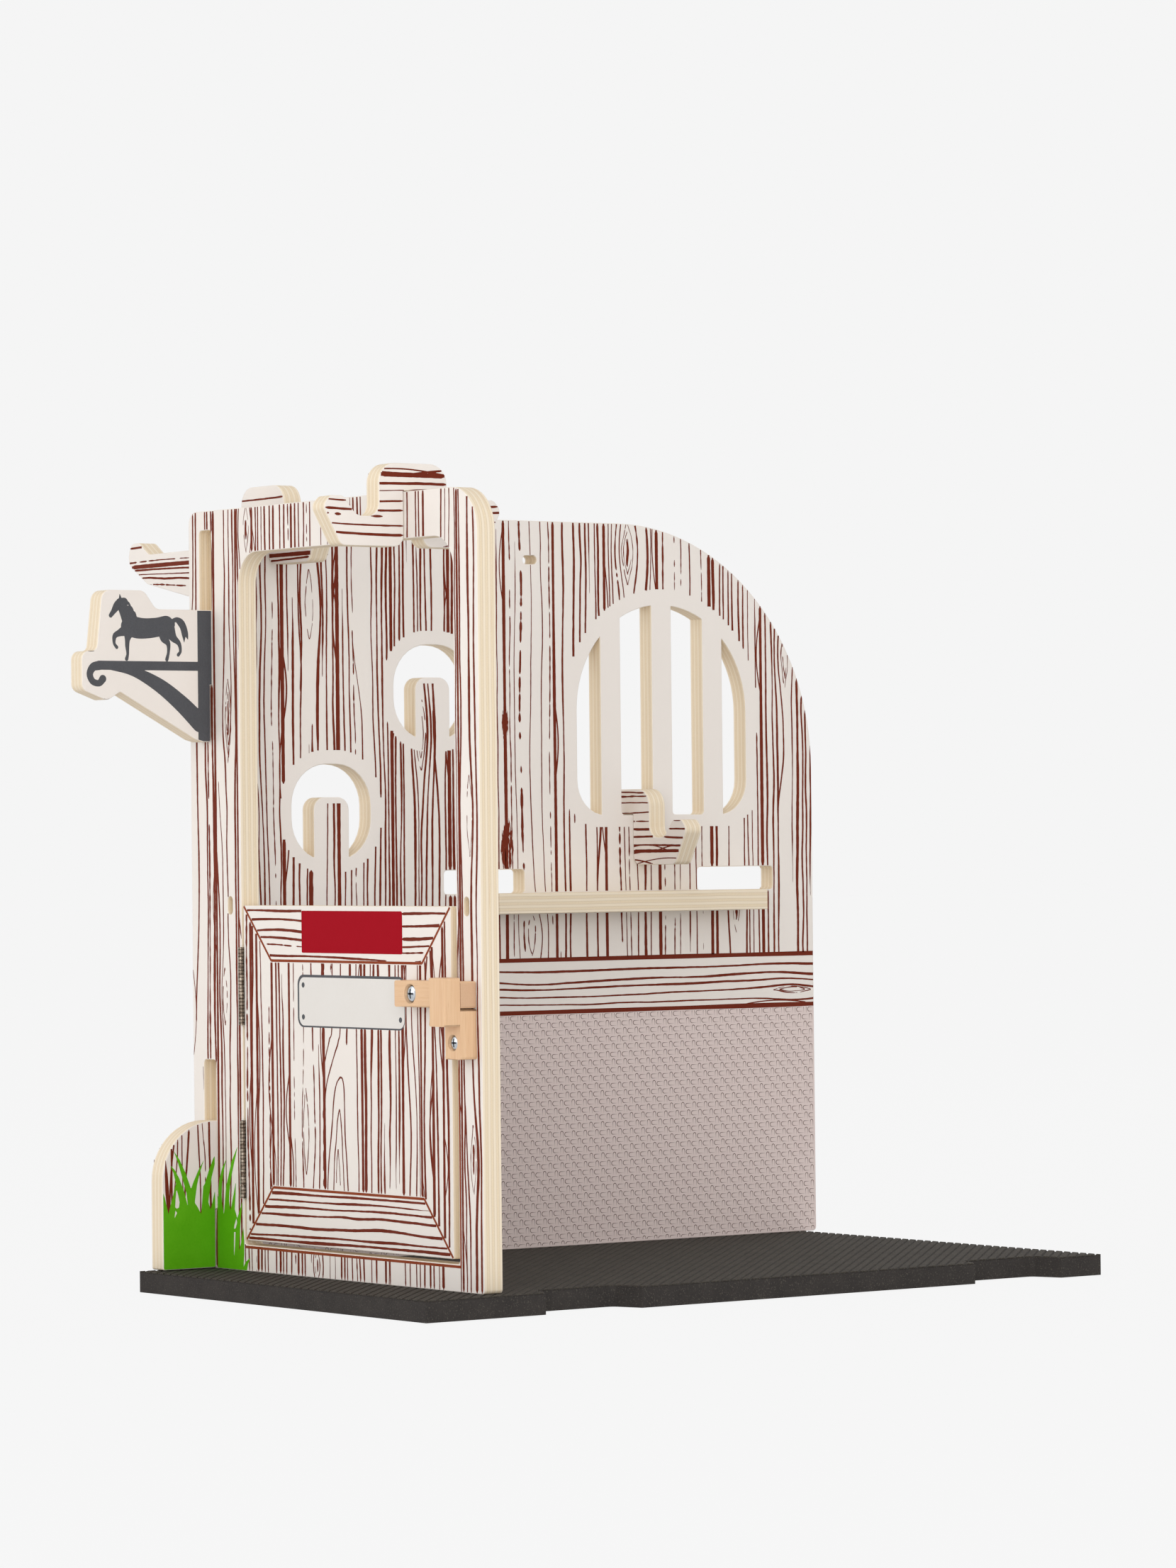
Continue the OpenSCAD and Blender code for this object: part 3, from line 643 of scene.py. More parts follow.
@dataclass(frozen=True)
class Ink:
    """Printed colour with the slight unevenness of a screen print."""

    name: str
    color: Color
    faded: Color
    effects: Effects
    spots: float = 0.35
    fades: bool = False
    relief: float = 0.00008
    gloss: float = 0.16

    def build(self) -> bpy.types.Material:
        """Makes the material.

        Returns:
            The material.
        """
        material, graph, where, shader = new_material(self.name)
        mottle = graph.add("ShaderNodeGroup", node_tree=self.effects.mottle)
        graph.tree.links.new(where, mottle.inputs["Vector"])
        mottle.inputs["Scale"].default_value = 70.0
        mottle.inputs["Amount"].default_value = 0.4
        share = graph.spread(mottle.outputs["Factor"], 0.85, 1.15, 0.0, self.spots)
        if self.fades:
            share = graph.add("ShaderNodeAttribute", attribute_name="fade").outputs["Fac"]
        graph.tree.links.new(graph.mix(share, self.color, self.faded), shader.inputs["Base Color"])
        shader.inputs["Roughness"].default_value = 0.5
        shader.inputs["Specular IOR Level"].default_value = self.gloss
        add_bump(graph, shader, mottle.outputs["Height"], 0.35, self.relief)
        return material


@dataclass
class Finishes:
    """Every finish on the stable, made once."""

    effects: Effects = field(default_factory=Effects)

    def __post_init__(self) -> None:
        """Builds the materials that more than one piece uses."""
        e = self.effects
        brown, faded = linear(106, 38, 22), linear(128, 56, 36)
        self.grain_ink = Ink("Grain ink", brown, faded, e, relief=0.00002, gloss=0.08).build()
        self.frame_ink = Ink("Frame line ink", linear(134, 60, 34), linear(156, 82, 50), e, gloss=0.08).build()
        self.slate_ink = Ink("Slate ink", linear(78, 79, 83), linear(94, 95, 98), e, relief=0.0008).build()
        self.red_ink = Ink("Red plate ink", linear(157, 3, 24), linear(166, 6, 30), e, gloss=0.05).build()
        self.plate_paint = Ink("Name plate paint", linear(226, 222, 217), linear(220, 215, 208), e).build()
        self.grass_ink = Ink("Grass ink", linear(86, 166, 12), linear(100, 180, 26), e, spots=0.8, gloss=0.1).build()
        self.mark_ink = Ink("Mark ink", linear(128, 108, 103), linear(216, 198, 194), e, fades=True).build()
        # The nickel's dark rings are painted shade of fine grooves.
        self.nickel = Metal("Aged nickel", linear(184, 172, 156), linear(74, 58, 45), 0.27, 1.0, e, groove_shade_pitch=1.65).build()
        self.zinc = Metal("Bright zinc", linear(206, 210, 214), linear(170, 176, 184), 0.24, 0.6, e).build()
        # The screws darken behind their head's surface, painted shade in the cross recess.
        self.screw = Metal("Screw zinc", linear(206, 210, 214), linear(160, 168, 178), 0.2, 0.7, e, recess_shade_from=-8.1).build()
        self.dowel = Beech("Beech dowels", (1.0, 0.0, 0.0), (-1.0, 1.0), e).build()
        self.foam = Foam("Foam", False, e).build()
        # The ribs' foam is a lit copy of the foam, with painted light and painted shade.
        self.foam_ribs = Foam("Foam ribs", True, e).build()
        self.shelf = BarePly("Shelf plywood", 166.3, e).build()


def geometry_group(
    name: str, takes: Sequence[tuple[str, str, Any]]
) -> tuple[Graph, bpy.types.Node, bpy.types.Node]:
    """Starts a geometry node tree with named inputs.

    Args:
        name: The tree's name.
        takes: Name, kind and value of each input after the geometry.

    Returns:
        The graph, its input node and its output node.
    """
    tree = bpy.data.node_groups.new(name, "GeometryNodeTree")
    tree.interface.new_socket("Geometry", in_out="INPUT", socket_type="NodeSocketGeometry")
    for label, kind, value in takes:
        socket = tree.interface.new_socket(label, in_out="INPUT", socket_type=f"NodeSocket{kind}")
        if value is not None:
            socket.default_value = value
    tree.interface.new_socket("Geometry", in_out="OUTPUT", socket_type="NodeSocketGeometry")
    graph = Graph(tree)
    return graph, graph.add("NodeGroupInput"), graph.add("NodeGroupOutput")


class Trees:
    """The geometry node trees that make what repeats or follows a line."""

    def __init__(self) -> None:
        """Builds the trees."""
        self.strands = self._strands()
        self.marks = self._marks()
        self.ribs = self._ribs()

    def _finish(self, graph: Graph, given: bpy.types.Node, shape: Any, ink: Any) -> bpy.types.NodeTree:
        """Ends a tree with Realize Instances and Set Material.

        Args:
            graph: The tree's graph.
            given: Its output node.
            shape: The geometry so far.
            ink: The material input.

        Returns:
            The finished tree.
        """
        real = graph.add("GeometryNodeRealizeInstances", {0: shape}).outputs[0]
        dressed = graph.add("GeometryNodeSetMaterial", {"Geometry": real, "Material": ink}).outputs[0]
        graph.tree.links.new(dressed, given.inputs[0])
        return graph.tree

    def _strands(self) -> bpy.types.NodeTree:
        """Builds flat ribbons along drawn lines, as wide as each point's half_width says.

        Returns:
            The tree.
        """
        graph, taken, given = geometry_group(
            "Printed strands",
            [
                ("Width Factor", "Float", 1.0),
                ("Turn", "Rotation", None),
                ("Place", "Vector", None),
                ("Ink", "Material", None),
            ],
        )
        curve = graph.add("GeometryNodeMeshToCurve", {0: taken.outputs["Geometry"]}).outputs[0]
        flat = graph.add("GeometryNodeSetCurveNormal", {"Curve": curve, "Normal": (0.0, 0.0, 1.0)}, mode="FREE")
        width = graph.add("GeometryNodeInputNamedAttribute", {"Name": "half_width"}, data_type="FLOAT").outputs[0]
        size = graph.math("MULTIPLY", width, taken.outputs["Width Factor"])
        profile = graph.add("GeometryNodeCurvePrimitiveLine", {"Start": (0.0, -1.0, 0.0), "End": (0.0, 1.0, 0.0)})
        swept = graph.add(
            "GeometryNodeCurveToMesh",
            {"Curve": flat.outputs[0], "Profile Curve": profile.outputs[0], "Scale": size},
        ).outputs[0]
        placed = graph.add(
            "GeometryNodeTransform",
            {"Geometry": swept, "Translation": taken.outputs["Place"], "Rotation": taken.outputs["Turn"]},
        ).outputs[0]
        return self._finish(graph, given, placed, taken.outputs["Ink"])

    def _marks(self) -> bpy.types.NodeTree:
        """Builds a field of small bent marks, upright and lying turn about, every second row shifted.

        Returns:
            The tree.
        """
        graph, taken, given = geometry_group(
            "Bent marks",
            [
                ("Columns", "Int", 40),
                ("Rows", "Int", 20),
                ("Pitch Across", "Float", 0.00725),
                ("Pitch Up", "Float", 0.0039),
                ("Lying Shift", "Vector", None),
                ("Low Corner", "Vector", None),
                ("High Corner", "Vector", None),
                ("Turn", "Rotation", None),
                ("Place", "Vector", None),
                ("Ink", "Material", None),
            ],
        )
        out = taken.outputs
        across = graph.math("MULTIPLY", graph.math("SUBTRACT", out["Columns"], 1.0), out["Pitch Across"])
        up = graph.math("MULTIPLY", graph.math("SUBTRACT", out["Rows"], 1.0), out["Pitch Up"])
        grid = graph.add(
            "GeometryNodeMeshGrid",
            {"Size X": across, "Size Y": up, "Vertices X": out["Columns"], "Vertices Y": out["Rows"]},
        ).outputs[0]
        centre = graph.add(
            "ShaderNodeCombineXYZ", {0: graph.math("MULTIPLY", across, 0.5), 1: graph.math("MULTIPLY", up, 0.5)}
        ).outputs[0]
        corner = graph.add("GeometryNodeSetPosition", {"Geometry": grid, "Offset": centre}).outputs[0]
        spot = graph.add("ShaderNodeSeparateXYZ", {0: graph.add("GeometryNodeInputPosition").outputs[0]})
        row = graph.math("ROUND", graph.math("DIVIDE", spot.outputs[1], out["Pitch Up"]))
        odd = graph.math("MULTIPLY", graph.math("MODULO", row, 2.0), graph.math("MULTIPLY", out["Pitch Across"], 0.5))
        shift = graph.add("ShaderNodeCombineXYZ", {0: odd}).outputs[0]
        rows = graph.add("GeometryNodeSetPosition", {"Geometry": corner, "Offset": shift}).outputs[0]
        mark = graph.add("GeometryNodeMeshToCurve", {0: out["Geometry"]}).outputs[0]
        upright = graph.add("GeometryNodeInstanceOnPoints", {"Points": rows, "Instance": mark}).outputs[0]
        aside = graph.add("GeometryNodeSetPosition", {"Geometry": rows, "Offset": out["Lying Shift"]}).outputs[0]
        lying = graph.add(
            "GeometryNodeInstanceOnPoints",
            {
                "Points": aside,
                "Instance": mark,
                "Rotation": (0.0, 0.0, math.pi / 2),
                "Scale": (1.28, 1.12, 1.0),
            },
        ).outputs[0]
        both = graph.add("GeometryNodeJoinGeometry")
        graph.tree.links.new(upright, both.inputs[0])
        graph.tree.links.new(lying, both.inputs[0])
        real = graph.add("GeometryNodeRealizeInstances", {0: both.outputs[0]}).outputs[0]
        flat = graph.add("GeometryNodeSetCurveNormal", {"Curve": real, "Normal": (0.0, 0.0, 1.0)}, mode="FREE")
        width = graph.add("GeometryNodeInputNamedAttribute", {"Name": "half_width"}, data_type="FLOAT").outputs[0]
        profile = graph.add("GeometryNodeCurvePrimitiveLine", {"Start": (0.0, -1.0, 0.0), "End": (0.0, 1.0, 0.0)})
        swept = graph.add(
            "GeometryNodeCurveToMesh",
            {"Curve": flat.outputs[0], "Profile Curve": profile.outputs[0], "Scale": width},
        ).outputs[0]
        low = graph.add("ShaderNodeSeparateXYZ", {0: out["Low Corner"]})
        high = graph.add("ShaderNodeSeparateXYZ", {0: out["High Corner"]})
        outside: Any = 0.0
        for axis in (0, 1):
            below = graph.math("LESS_THAN", spot.outputs[axis], low.outputs[axis])
            above = graph.math("GREATER_THAN", spot.outputs[axis], high.outputs[axis])
            outside = graph.math("MAXIMUM", outside, graph.math("MAXIMUM", below, above))
        kept = graph.add(
            "GeometryNodeDeleteGeometry", {"Geometry": swept, "Selection": outside}, domain="POINT"
        ).outputs[0]
        placed = graph.add(
            "GeometryNodeTransform",
            {"Geometry": kept, "Translation": out["Place"], "Rotation": out["Turn"]},
        ).outputs[0]
        return self._finish(graph, given, placed, out["Ink"])

    def _ribs(self) -> bpy.types.NodeTree:
        """Builds low ribs along straight lines and trims them to a slab.

        Returns:
            The tree.
        """
        graph, taken, given = geometry_group(
            "Mat ribs",
            [
                ("Foot Width", "Float", 0.0039),
                ("Top Width", "Float", 0.003),
                ("Height", "Float", 0.0008),
                ("Slab", "Object", None),
                ("Foam", "Material", None),
            ],
        )
        out = taken.outputs
        curve = graph.add("GeometryNodeMeshToCurve", {0: out["Geometry"]}).outputs[0]
        flat = graph.add("GeometryNodeSetCurveNormal", {"Curve": curve, "Normal": (0.0, 0.0, 1.0)}, mode="FREE")
        profile = graph.add(
            "GeometryNodeCurvePrimitiveQuadrilateral",
            {
                "Height": out["Height"],
                "Bottom Width": out["Foot Width"],
                "Top Width": out["Top Width"],
                "Offset": 0.0,
            },
            mode="TRAPEZOID",
        ).outputs[0]
        turned = graph.add("GeometryNodeTransform", {"Geometry": profile, "Rotation": (0.0, 0.0, -math.pi / 2)})
        swept = graph.add(
            "GeometryNodeCurveToMesh",
            {"Curve": flat.outputs[0], "Profile Curve": turned.outputs[0], "Scale": 1.0, "Fill Caps": True},
        ).outputs[0]
        slab = graph.add("GeometryNodeObjectInfo", {"Object": out["Slab"]}).outputs["Geometry"]
        cut = graph.add("GeometryNodeMeshBoolean", operation="INTERSECT", solver="EXACT")
        graph.tree.links.new(swept, cut.inputs["Mesh 2"])
        graph.tree.links.new(slab, cut.inputs["Mesh 2"])
        return self._finish(graph, given, cut.outputs[0], out["Foam"])


def link_object(name: str, mesh: bpy.types.Mesh) -> bpy.types.Object:
    """Puts a mesh in the scene.

    Args:
        name: The piece's name.
        mesh: Its mesh, in place in metres.

    Returns:
        The object, at the origin and unturned.
    """
    piece = bpy.data.objects.new(name, mesh)
    bpy.context.scene.collection.objects.link(piece)
    return piece


def baked(piece: bpy.types.Object, tree: bpy.types.NodeTree | None, values: dict[str, Any]) -> bpy.types.Object:
    """Runs a piece's modifiers once and keeps the result as its plain mesh.

    Args:
        piece: The piece.
        tree: The geometry node tree to run, or None where modifiers are already set.
        values: The tree's inputs by name.

    Returns:
        The piece with no modifier left.
    """
    if tree is not None:
        modifier = piece.modifiers.new("Nodes", "NODES")
        modifier.node_group = tree
        sockets = {item.name: item.identifier for item in tree.interface.items_tree if item.in_out == "INPUT"}
        for name, value in values.items():
            modifier[sockets[name]] = value
    bpy.context.view_layer.update()
    graph = bpy.context.evaluated_depsgraph_get()
    mesh = bpy.data.meshes.new_from_object(piece.evaluated_get(graph), depsgraph=graph)
    mesh.name = piece.name
    piece.modifiers.clear()
    piece.data = mesh
    return piece


def facing(piece: bpy.types.Object, normal: Vector) -> None:
    """Turns a flat piece's faces so that they look along a direction.

    Args:
        piece: The flat piece.
        normal: The direction.
    """
    mesh = bmesh.new()
    mesh.from_mesh(piece.data)
    wrong = [f for f in mesh.faces if f.normal.dot(normal) < 0]
    bmesh.ops.reverse_faces(mesh, faces=wrong)
    mesh.to_mesh(piece.data)
    mesh.free()


def dressed(piece: bpy.types.Object, body: str, slot: str) -> bpy.types.Object:
    """Ties a piece to its body, and reports it.

    Args:
        piece: The piece.
        body: The CAD body that it rides on.
        slot: A material slot name; not used.

    Returns:
        The piece.
    """
    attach(piece, body)
    LOG.info("%s: %d faces, rides on %s", piece.name, len(piece.data.polygons), body)
    return piece


@dataclass
class Outline:
    """The edge of a board's face, openings included, in board millimetres."""

    segments: np.ndarray

    @classmethod
    def of(cls, node: bpy.types.Object, face: Face) -> Outline:
        """Reads the edge of a face from a CAD node.

        Args:
            node: The CAD node's object.
            face: The face.

        Returns:
            The outline.
        """
        points = np.array([v.co for v in node.data.vertices], float)
        flat = (points[:, 1] - CORNER[1]) if face.along_x else (points[:, 0] - CORNER[0])
        on_face = np.abs(flat / MM - face.level) < 0.02
        across = face.across(points)
        up = (points[:, 2] - CORNER[2]) / MM
        seen: dict[tuple[tuple[float, float], ...], int] = {}
        for polygon in node.data.polygons:
            ring = list(polygon.vertices)
            if not all(on_face[i] for i in ring):
                continue
            spots = [(round(float(across[i]), 3), round(float(up[i]), 3)) for i in ring]
            for a, b in zip(spots, spots[1:] + spots[:1]):
                key = tuple(sorted((a, b)))
                seen[key] = seen.get(key, 0) + 1
        edges = [(*a, *b) for (a, b), count in seen.items() if count == 1 and a != b]
        return cls(np.array(edges, float))

    def depth(self, across: np.ndarray, up: np.ndarray) -> np.ndarray:
        """How far points lie inside the face.

        Args:
            across: First board coordinate.
            up: Height.

        Returns:
            The distance to the nearest edge, negative outside the face.
        """
        flat = np.column_stack([np.ravel(across), np.ravel(up)])
        made = np.empty(len(flat))
        start, end = self.segments[:, :2], self.segments[:, 2:]
        run = end - start
        square = np.maximum((run**2).sum(1), 1e-12)
        for low in range(0, len(flat), 2048):
            part = flat[low : low + 2048, None, :]
            share = np.clip(((part - start) * run).sum(2) / square, 0, 1)
            near = start + share[..., None] * run
            gap = np.sqrt(((part - near) ** 2).sum(2)).min(1)
            above = (start[:, 1] > part[..., 1]) != (end[:, 1] > part[..., 1])
            rise = np.where(np.abs(run[:, 1]) < 1e-12, 1e-12, run[:, 1])
            cross = start[:, 0] + (part[..., 1] - start[:, 1]) / rise * run[:, 0]
            inside = ((above & (part[..., 0] < cross)).sum(1) % 2) == 1
            made[low : low + 2048] = np.where(inside, gap, -gap)
        return made.reshape(np.shape(across))


def in_box(left: float, low: float, right: float, high: float, radius: float = 0.0) -> Depth:
    """Makes the depth inside a box with rounded corners.

    Args:
        left: Left side.
        low: Lower side.
        right: Right side.
        high: Upper side.
        radius: Corner radius.

    Returns:
        A depth function.
    """

    def depth(across: np.ndarray, up: np.ndarray) -> np.ndarray:
        """The depth at points."""
        dx = np.abs(across - (left + right) / 2) - (right - left) / 2 + radius
        dy = np.abs(up - (low + high) / 2) - (high - low) / 2 + radius
        outer = np.hypot(np.maximum(dx, 0), np.maximum(dy, 0))
        return radius - outer - np.minimum(np.maximum(dx, dy), 0)

    return depth


def in_disc(across_0: float, up_0: float, radius: float) -> Depth:
    """Makes the depth inside a disc."""
    return lambda across, up: radius - np.hypot(across - across_0, up - up_0)


def in_polygon(corners: Sequence[tuple[float, float]]) -> Depth:
    """Makes the depth inside a polygon."""
    ring = np.array(corners, float)
    return Outline(np.hstack([ring, np.roll(ring, -1, axis=0)])).depth


def any_of(*parts: Depth) -> Depth:
    """Makes the depth inside at least one shape."""
    return lambda across, up: np.maximum.reduce([p(across, up) for p in parts])


def all_of(*parts: Depth) -> Depth:
    """Makes the depth inside every shape."""
    return lambda across, up: np.minimum.reduce([p(across, up) for p in parts])


def outside(part: Depth, margin: float = 0.0) -> Depth:
    """Makes the depth outside a shape, a margin away from it."""
    return lambda across, up: -part(across, up) - margin


class Ripple:
    """Smooth repeatable unevenness along a line, from about -1 to 1."""

    def __init__(self, rng: np.random.Generator, period: float, low: float, high: float) -> None:
        """Draws the knots of the curve.

        Args:
            rng: Source of the numbers.
            period: Distance between knots.
            low: Start of the line.
            high: End of the line.
        """
        self.low, self.period = low, period
        self.knots = rng.uniform(-1, 1, int((high - low) / period) + 6)

    def __call__(self, place: np.ndarray) -> np.ndarray:
        """The unevenness at places along the line."""
        spot = np.clip((place - self.low) / self.period + 1.5, 1.0, len(self.knots) - 3.001)
        index = spot.astype(int)
        t = spot - index
        a, b, c, d = (self.knots[index + i] for i in (-1, 0, 1, 2))
        return b + 0.5 * t * (c - a + t * (2 * a - 5 * b + 4 * c - d + t * (3 * (b - c) + d - a)))


def smooth(points: Sequence[Sequence[float]], samples: int) -> np.ndarray:
    """Draws a smooth line through points.

    Args:
        points: The points, with any number of values each.
        samples: How many points the smooth line gets.

    Returns:
        The smooth line's points.
    """
    knots = np.array(points, float)
    padded = np.vstack([2 * knots[0] - knots[1], knots, 2 * knots[-1] - knots[-2]])
    spots = np.linspace(0, len(knots) - 1.0001, samples)
    index = spots.astype(int)
    t = (spots - index)[:, None]
    a, b, c, d = (padded[index + i] for i in range(4))
    return b + 0.5 * t * (c - a + t * (2 * a - 5 * b + 4 * c - d + t * (3 * (b - c) + d - a)))


@dataclass(frozen=True)
class Habit:
    """How the grain of a plank is drawn: pitch and width of its lines, and the shares that break, join or end."""

    pitch: float
    width: float
    broken: float
    sway: float
    joins: float
    stops: float = 0.35


class Plank(Enum):
    """The kinds of plank in the print."""

    CLOSE = Habit(3.1, 1.0, 0.10, 1.0, 0.22)
    MIXED = Habit(3.5, 0.86, 0.24, 1.5, 0.18)
    OPEN = Habit(4.9, 0.7, 0.45, 2.4, 0.12)
    LYING = Habit(3.4, 1.05, 0.16, 2.4, 0.05, 0.12)


@dataclass(frozen=True)
class Knot:
    """A knot that the grain flows round: its middle, half width, half length, rings and dark heart."""

    across: float
    up: float
    half_width: float
    half_length: float
    rings: int = 2
    heart: bool = True


@dataclass(frozen=True)
class Blot:
    """A dark ragged patch on the line between two planks: its middle, half length and full width."""

    across: float
    up: float
    half_length: float
    width: float


@dataclass(frozen=True)
class Flame:
    """Nested arches in the grain: where the highest tip stands, their size, and which way they lean."""

    across: float
    tip: float
    size: float = 1.0
    lean: int = 1

    LINES = (
        (0.85, ((-12.0, -56), (-11, -42), (-9, -30), (-7.3, -20), (-6.4, -12), (-4.2, -4), (-1.3, -0.6), (0, 0))),
        (0.85, ((5.4, -56), (4.2, -40), (3.1, -28), (2.7, -16), (2.4, -6), (1.5, -1.2), (0, 0))),
        (0.8, ((-7.1, -56), (-6.2, -41), (-4.6, -30), (-3.2, -20), (-1.5, -14.8))),
        (0.75, ((2.1, -56), (1.1, -40), (0.4, -28), (-0.5, -19), (-1.5, -14.8))),
        (0.5, ((-4.6, -49), (-4.3, -43), (-3.7, -37), (-2.9, -33.3))),
        (0.5, ((-1.4, -50), (-1.7, -44), (-2.3, -38), (-2.9, -33.3))),
        (0.85, ((-13.9, -19), (-12.9, -7.4), (-10.2, 0.8), (-4.7, 11.1), (-2, 16.3), (-0.2, 24), (0.6, 60))),
        (0.8, ((-14.0, 5), (-11.6, 11.5), (-9.3, 17), (-7.1, 24), (-6.2, 60))),
    )

    @property
    def reach(self) -> tuple[float, float]:
        """The span across the grain that the arches take up."""
        ends = (self.across - 14.2 * self.size * self.lean, self.across + 5.9 * self.size * self.lean)
        return min(ends), max(ends)


@dataclass
class Grain:
    """A printed wood grain: long lines of varied weight that run one way over a region's planks."""

    hard: Depth
    soft: Depth
    planks: Sequence[tuple[float, Plank]]
    end: float
    run: tuple[float, float]
    seed: int
    lying: bool = False
    pitch: float = 1.0
    joint: float = 2.0
    knots: Sequence[Knot] = ()
    blots: Sequence[Blot] = ()
    flames: Sequence[Flame] = ()
    step: float = 1.2
    weight: float = 1.0
    lines: list[tuple[np.ndarray, np.ndarray]] = field(default_factory=list)

    def lay(self) -> list[tuple[np.ndarray, np.ndarray]]:
        """Draws every line.

        Returns:
            Points and half widths of each line, in board millimetres.
        """
        rng = np.random.default_rng(self.seed)
        starts = [place for place, _ in self.planks] + [self.end]
        for (start, plank), stop in zip(self.planks, starts[1:]):
            self._plank(rng, start, stop, plank.value)
        for knot in self.knots:
            self._rings(knot, rng)
        for blot in self.blots:
            self._blot(blot, rng)
        for flame in self.flames:
            self._flame(flame, rng)
        return self.lines

    def _along(self) -> np.ndarray:
        """The places along the grain at which lines are worked out."""
        return np.arange(self.run[0] - 3, self.run[1] + 3, self.step)

    def _plank(self, rng: np.random.Generator, start: float, stop: float, habit: Habit) -> None:
        """Draws one plank: the line at its start, and its grain.

        Args:
            rng: Source of the numbers.
            start: Where the plank starts, across the grain.
            stop: Where it ends.
            habit: How its grain is drawn.
        """
        along = self._along()
        ends = along[0], along[-1]
        weight = self.joint * rng.uniform(0.85, 1.1)
        rough = 0.06 * Ripple(rng, 1.7, *ends)(along) + 0.12 * Ripple(rng, 40.0, *ends)(along)
        bend = 0.25 * Ripple(rng, 90.0, *ends)(along)
        self._cut(start + bend, along, weight / 2 * (1 + rough), np.ones(len(along), bool))
        for _ in range(rng.integers(1, 4)):
            self._sliver(rng, start, weight)
        shared = [Ripple(rng, period, *ends) for period in (80.0, 42.0)]
        place = start + weight / 2 + habit.pitch * self.pitch * rng.uniform(0.45, 0.8)
        before = start
        while place < stop - 1.1:
            if not any(f.reach[0] < place < f.reach[1] for f in self.flames):
                share = math.sin(math.pi * (place - start) / max(stop - start, 1.0))
                lag = 0.9 * (place - start)
                sway = habit.sway * share * (shared[0](along + lag) + 0.45 * shared[1](along - lag))
                self._strand(rng, place, before, sway, habit)
            before = place
            place += habit.pitch * self.pitch * rng.uniform(0.62, 1.38)

    def _strand(
        self, rng: np.random.Generator, place: float, before: float, sway: np.ndarray, habit: Habit
    ) -> None:
        """Draws one line of grain.

        Args:
            rng: Source of the numbers.
            place: Its place across the grain.
            before: The place of the line before it.
            sway: How far the plank's grain sways at each place along.
            habit: How the plank's grain is drawn.
        """
        along = self._along()
        ends = along[0], along[-1]
        draw = rng.random()
        width = habit.width * (rng.uniform(0.54, 0.74) if draw < 0.24 else rng.uniform(0.82, 1.15))
        if draw > 0.94:
            width = habit.width * rng.uniform(1.35, 1.8)
        path = place + sway + rng.uniform(0.2, 0.5) * Ripple(rng, rng.uniform(12, 30), *ends)(along)
        path = path + 0.05 * Ripple(rng, 3.5, *ends)(along) + self._pushed(place, along)
        rough = 0.09 * Ripple(rng, 1.8, *ends)(along) + 0.28 * Ripple(rng, 26.0, *ends)(along)
        half = self.weight * width / 2 * (1 + rough)
        keep = np.ones(len(along), bool)
        if rng.random() < habit.joins:
            turn = rng.uniform(self.run[0] + 20, self.run[1] - 10)
            way = rng.choice((-1, 1))
            share = np.clip(1 - way * (turn - along) / rng.uniform(28, 60), 0, 1)
            path = path + (before - place) * share**2 * (3 - 2 * share)
            keep = way * (turn - along) > 0
            half = half * (1 - 0.3 * share)
        elif rng.random() < habit.broken:
            gaps = Ripple(rng, rng.uniform(8, 20), *ends)(along) + 0.9 * Ripple(rng, 2.4, *ends)(along)
            keep = gaps > np.quantile(gaps, rng.uniform(0.08, 0.4))
            half = half * (0.9 + 0.3 * Ripple(rng, 2.2, *ends)(along))
        elif rng.random() < habit.stops:
            stop = rng.uniform(*self.run)
            way = rng.choice((-1, 1))
            keep = way * (stop - along) > 0
            half = half * np.clip(np.abs(stop - along) / rng.uniform(10, 26), 0.34, 1)
        self._cut(path, along, half, keep)

    def _sliver(self, rng: np.random.Generator, start: float, weight: float) -> None:
        """Draws a line that leaves the line between two planks and comes back to it.

        Args:
            rng: Source of the numbers.
            start: Place of the line between the planks.
            weight: Its full width.
        """
        middle, half = rng.uniform(*self.run), rng.uniform(14, 34)
        along = np.arange(middle - half, middle + half, self.step * 0.8)
        share = (along - middle) / half
        bow = (weight / 2 + rng.uniform(1.0, 2.3)) * np.clip(1 - share**2, 0, 1) ** 1.3
        path = start + rng.choice((-1, 1)) * bow
        self._cut(path, along, np.full(len(along), rng.uniform(0.25, 0.5)), np.ones(len(along), bool))

    def _middle(self, across: float, up: float) -> tuple[float, float]:
        """A place given in board millimetres, as across the grain and along it."""
        return (up, across) if self.lying else (across, up)

    def _pushed(self, place: float, along: np.ndarray) -> np.ndarray:
        """How far knots push a line aside.

        Args:
            place: The line's place across the grain.
            along: Places along the grain.

        Returns:
            The shift at each place.
        """
        shift = np.zeros(len(along))
        for knot in self.knots:
            across, middle = self._middle(knot.across, knot.up)
            away = place - across
            push = math.copysign(knot.half_width, away) * math.exp(-((away / (2.1 * knot.half_width)) ** 2))
            shift += push * np.exp(-(((along - middle) / knot.half_length) ** 2))
        return shift

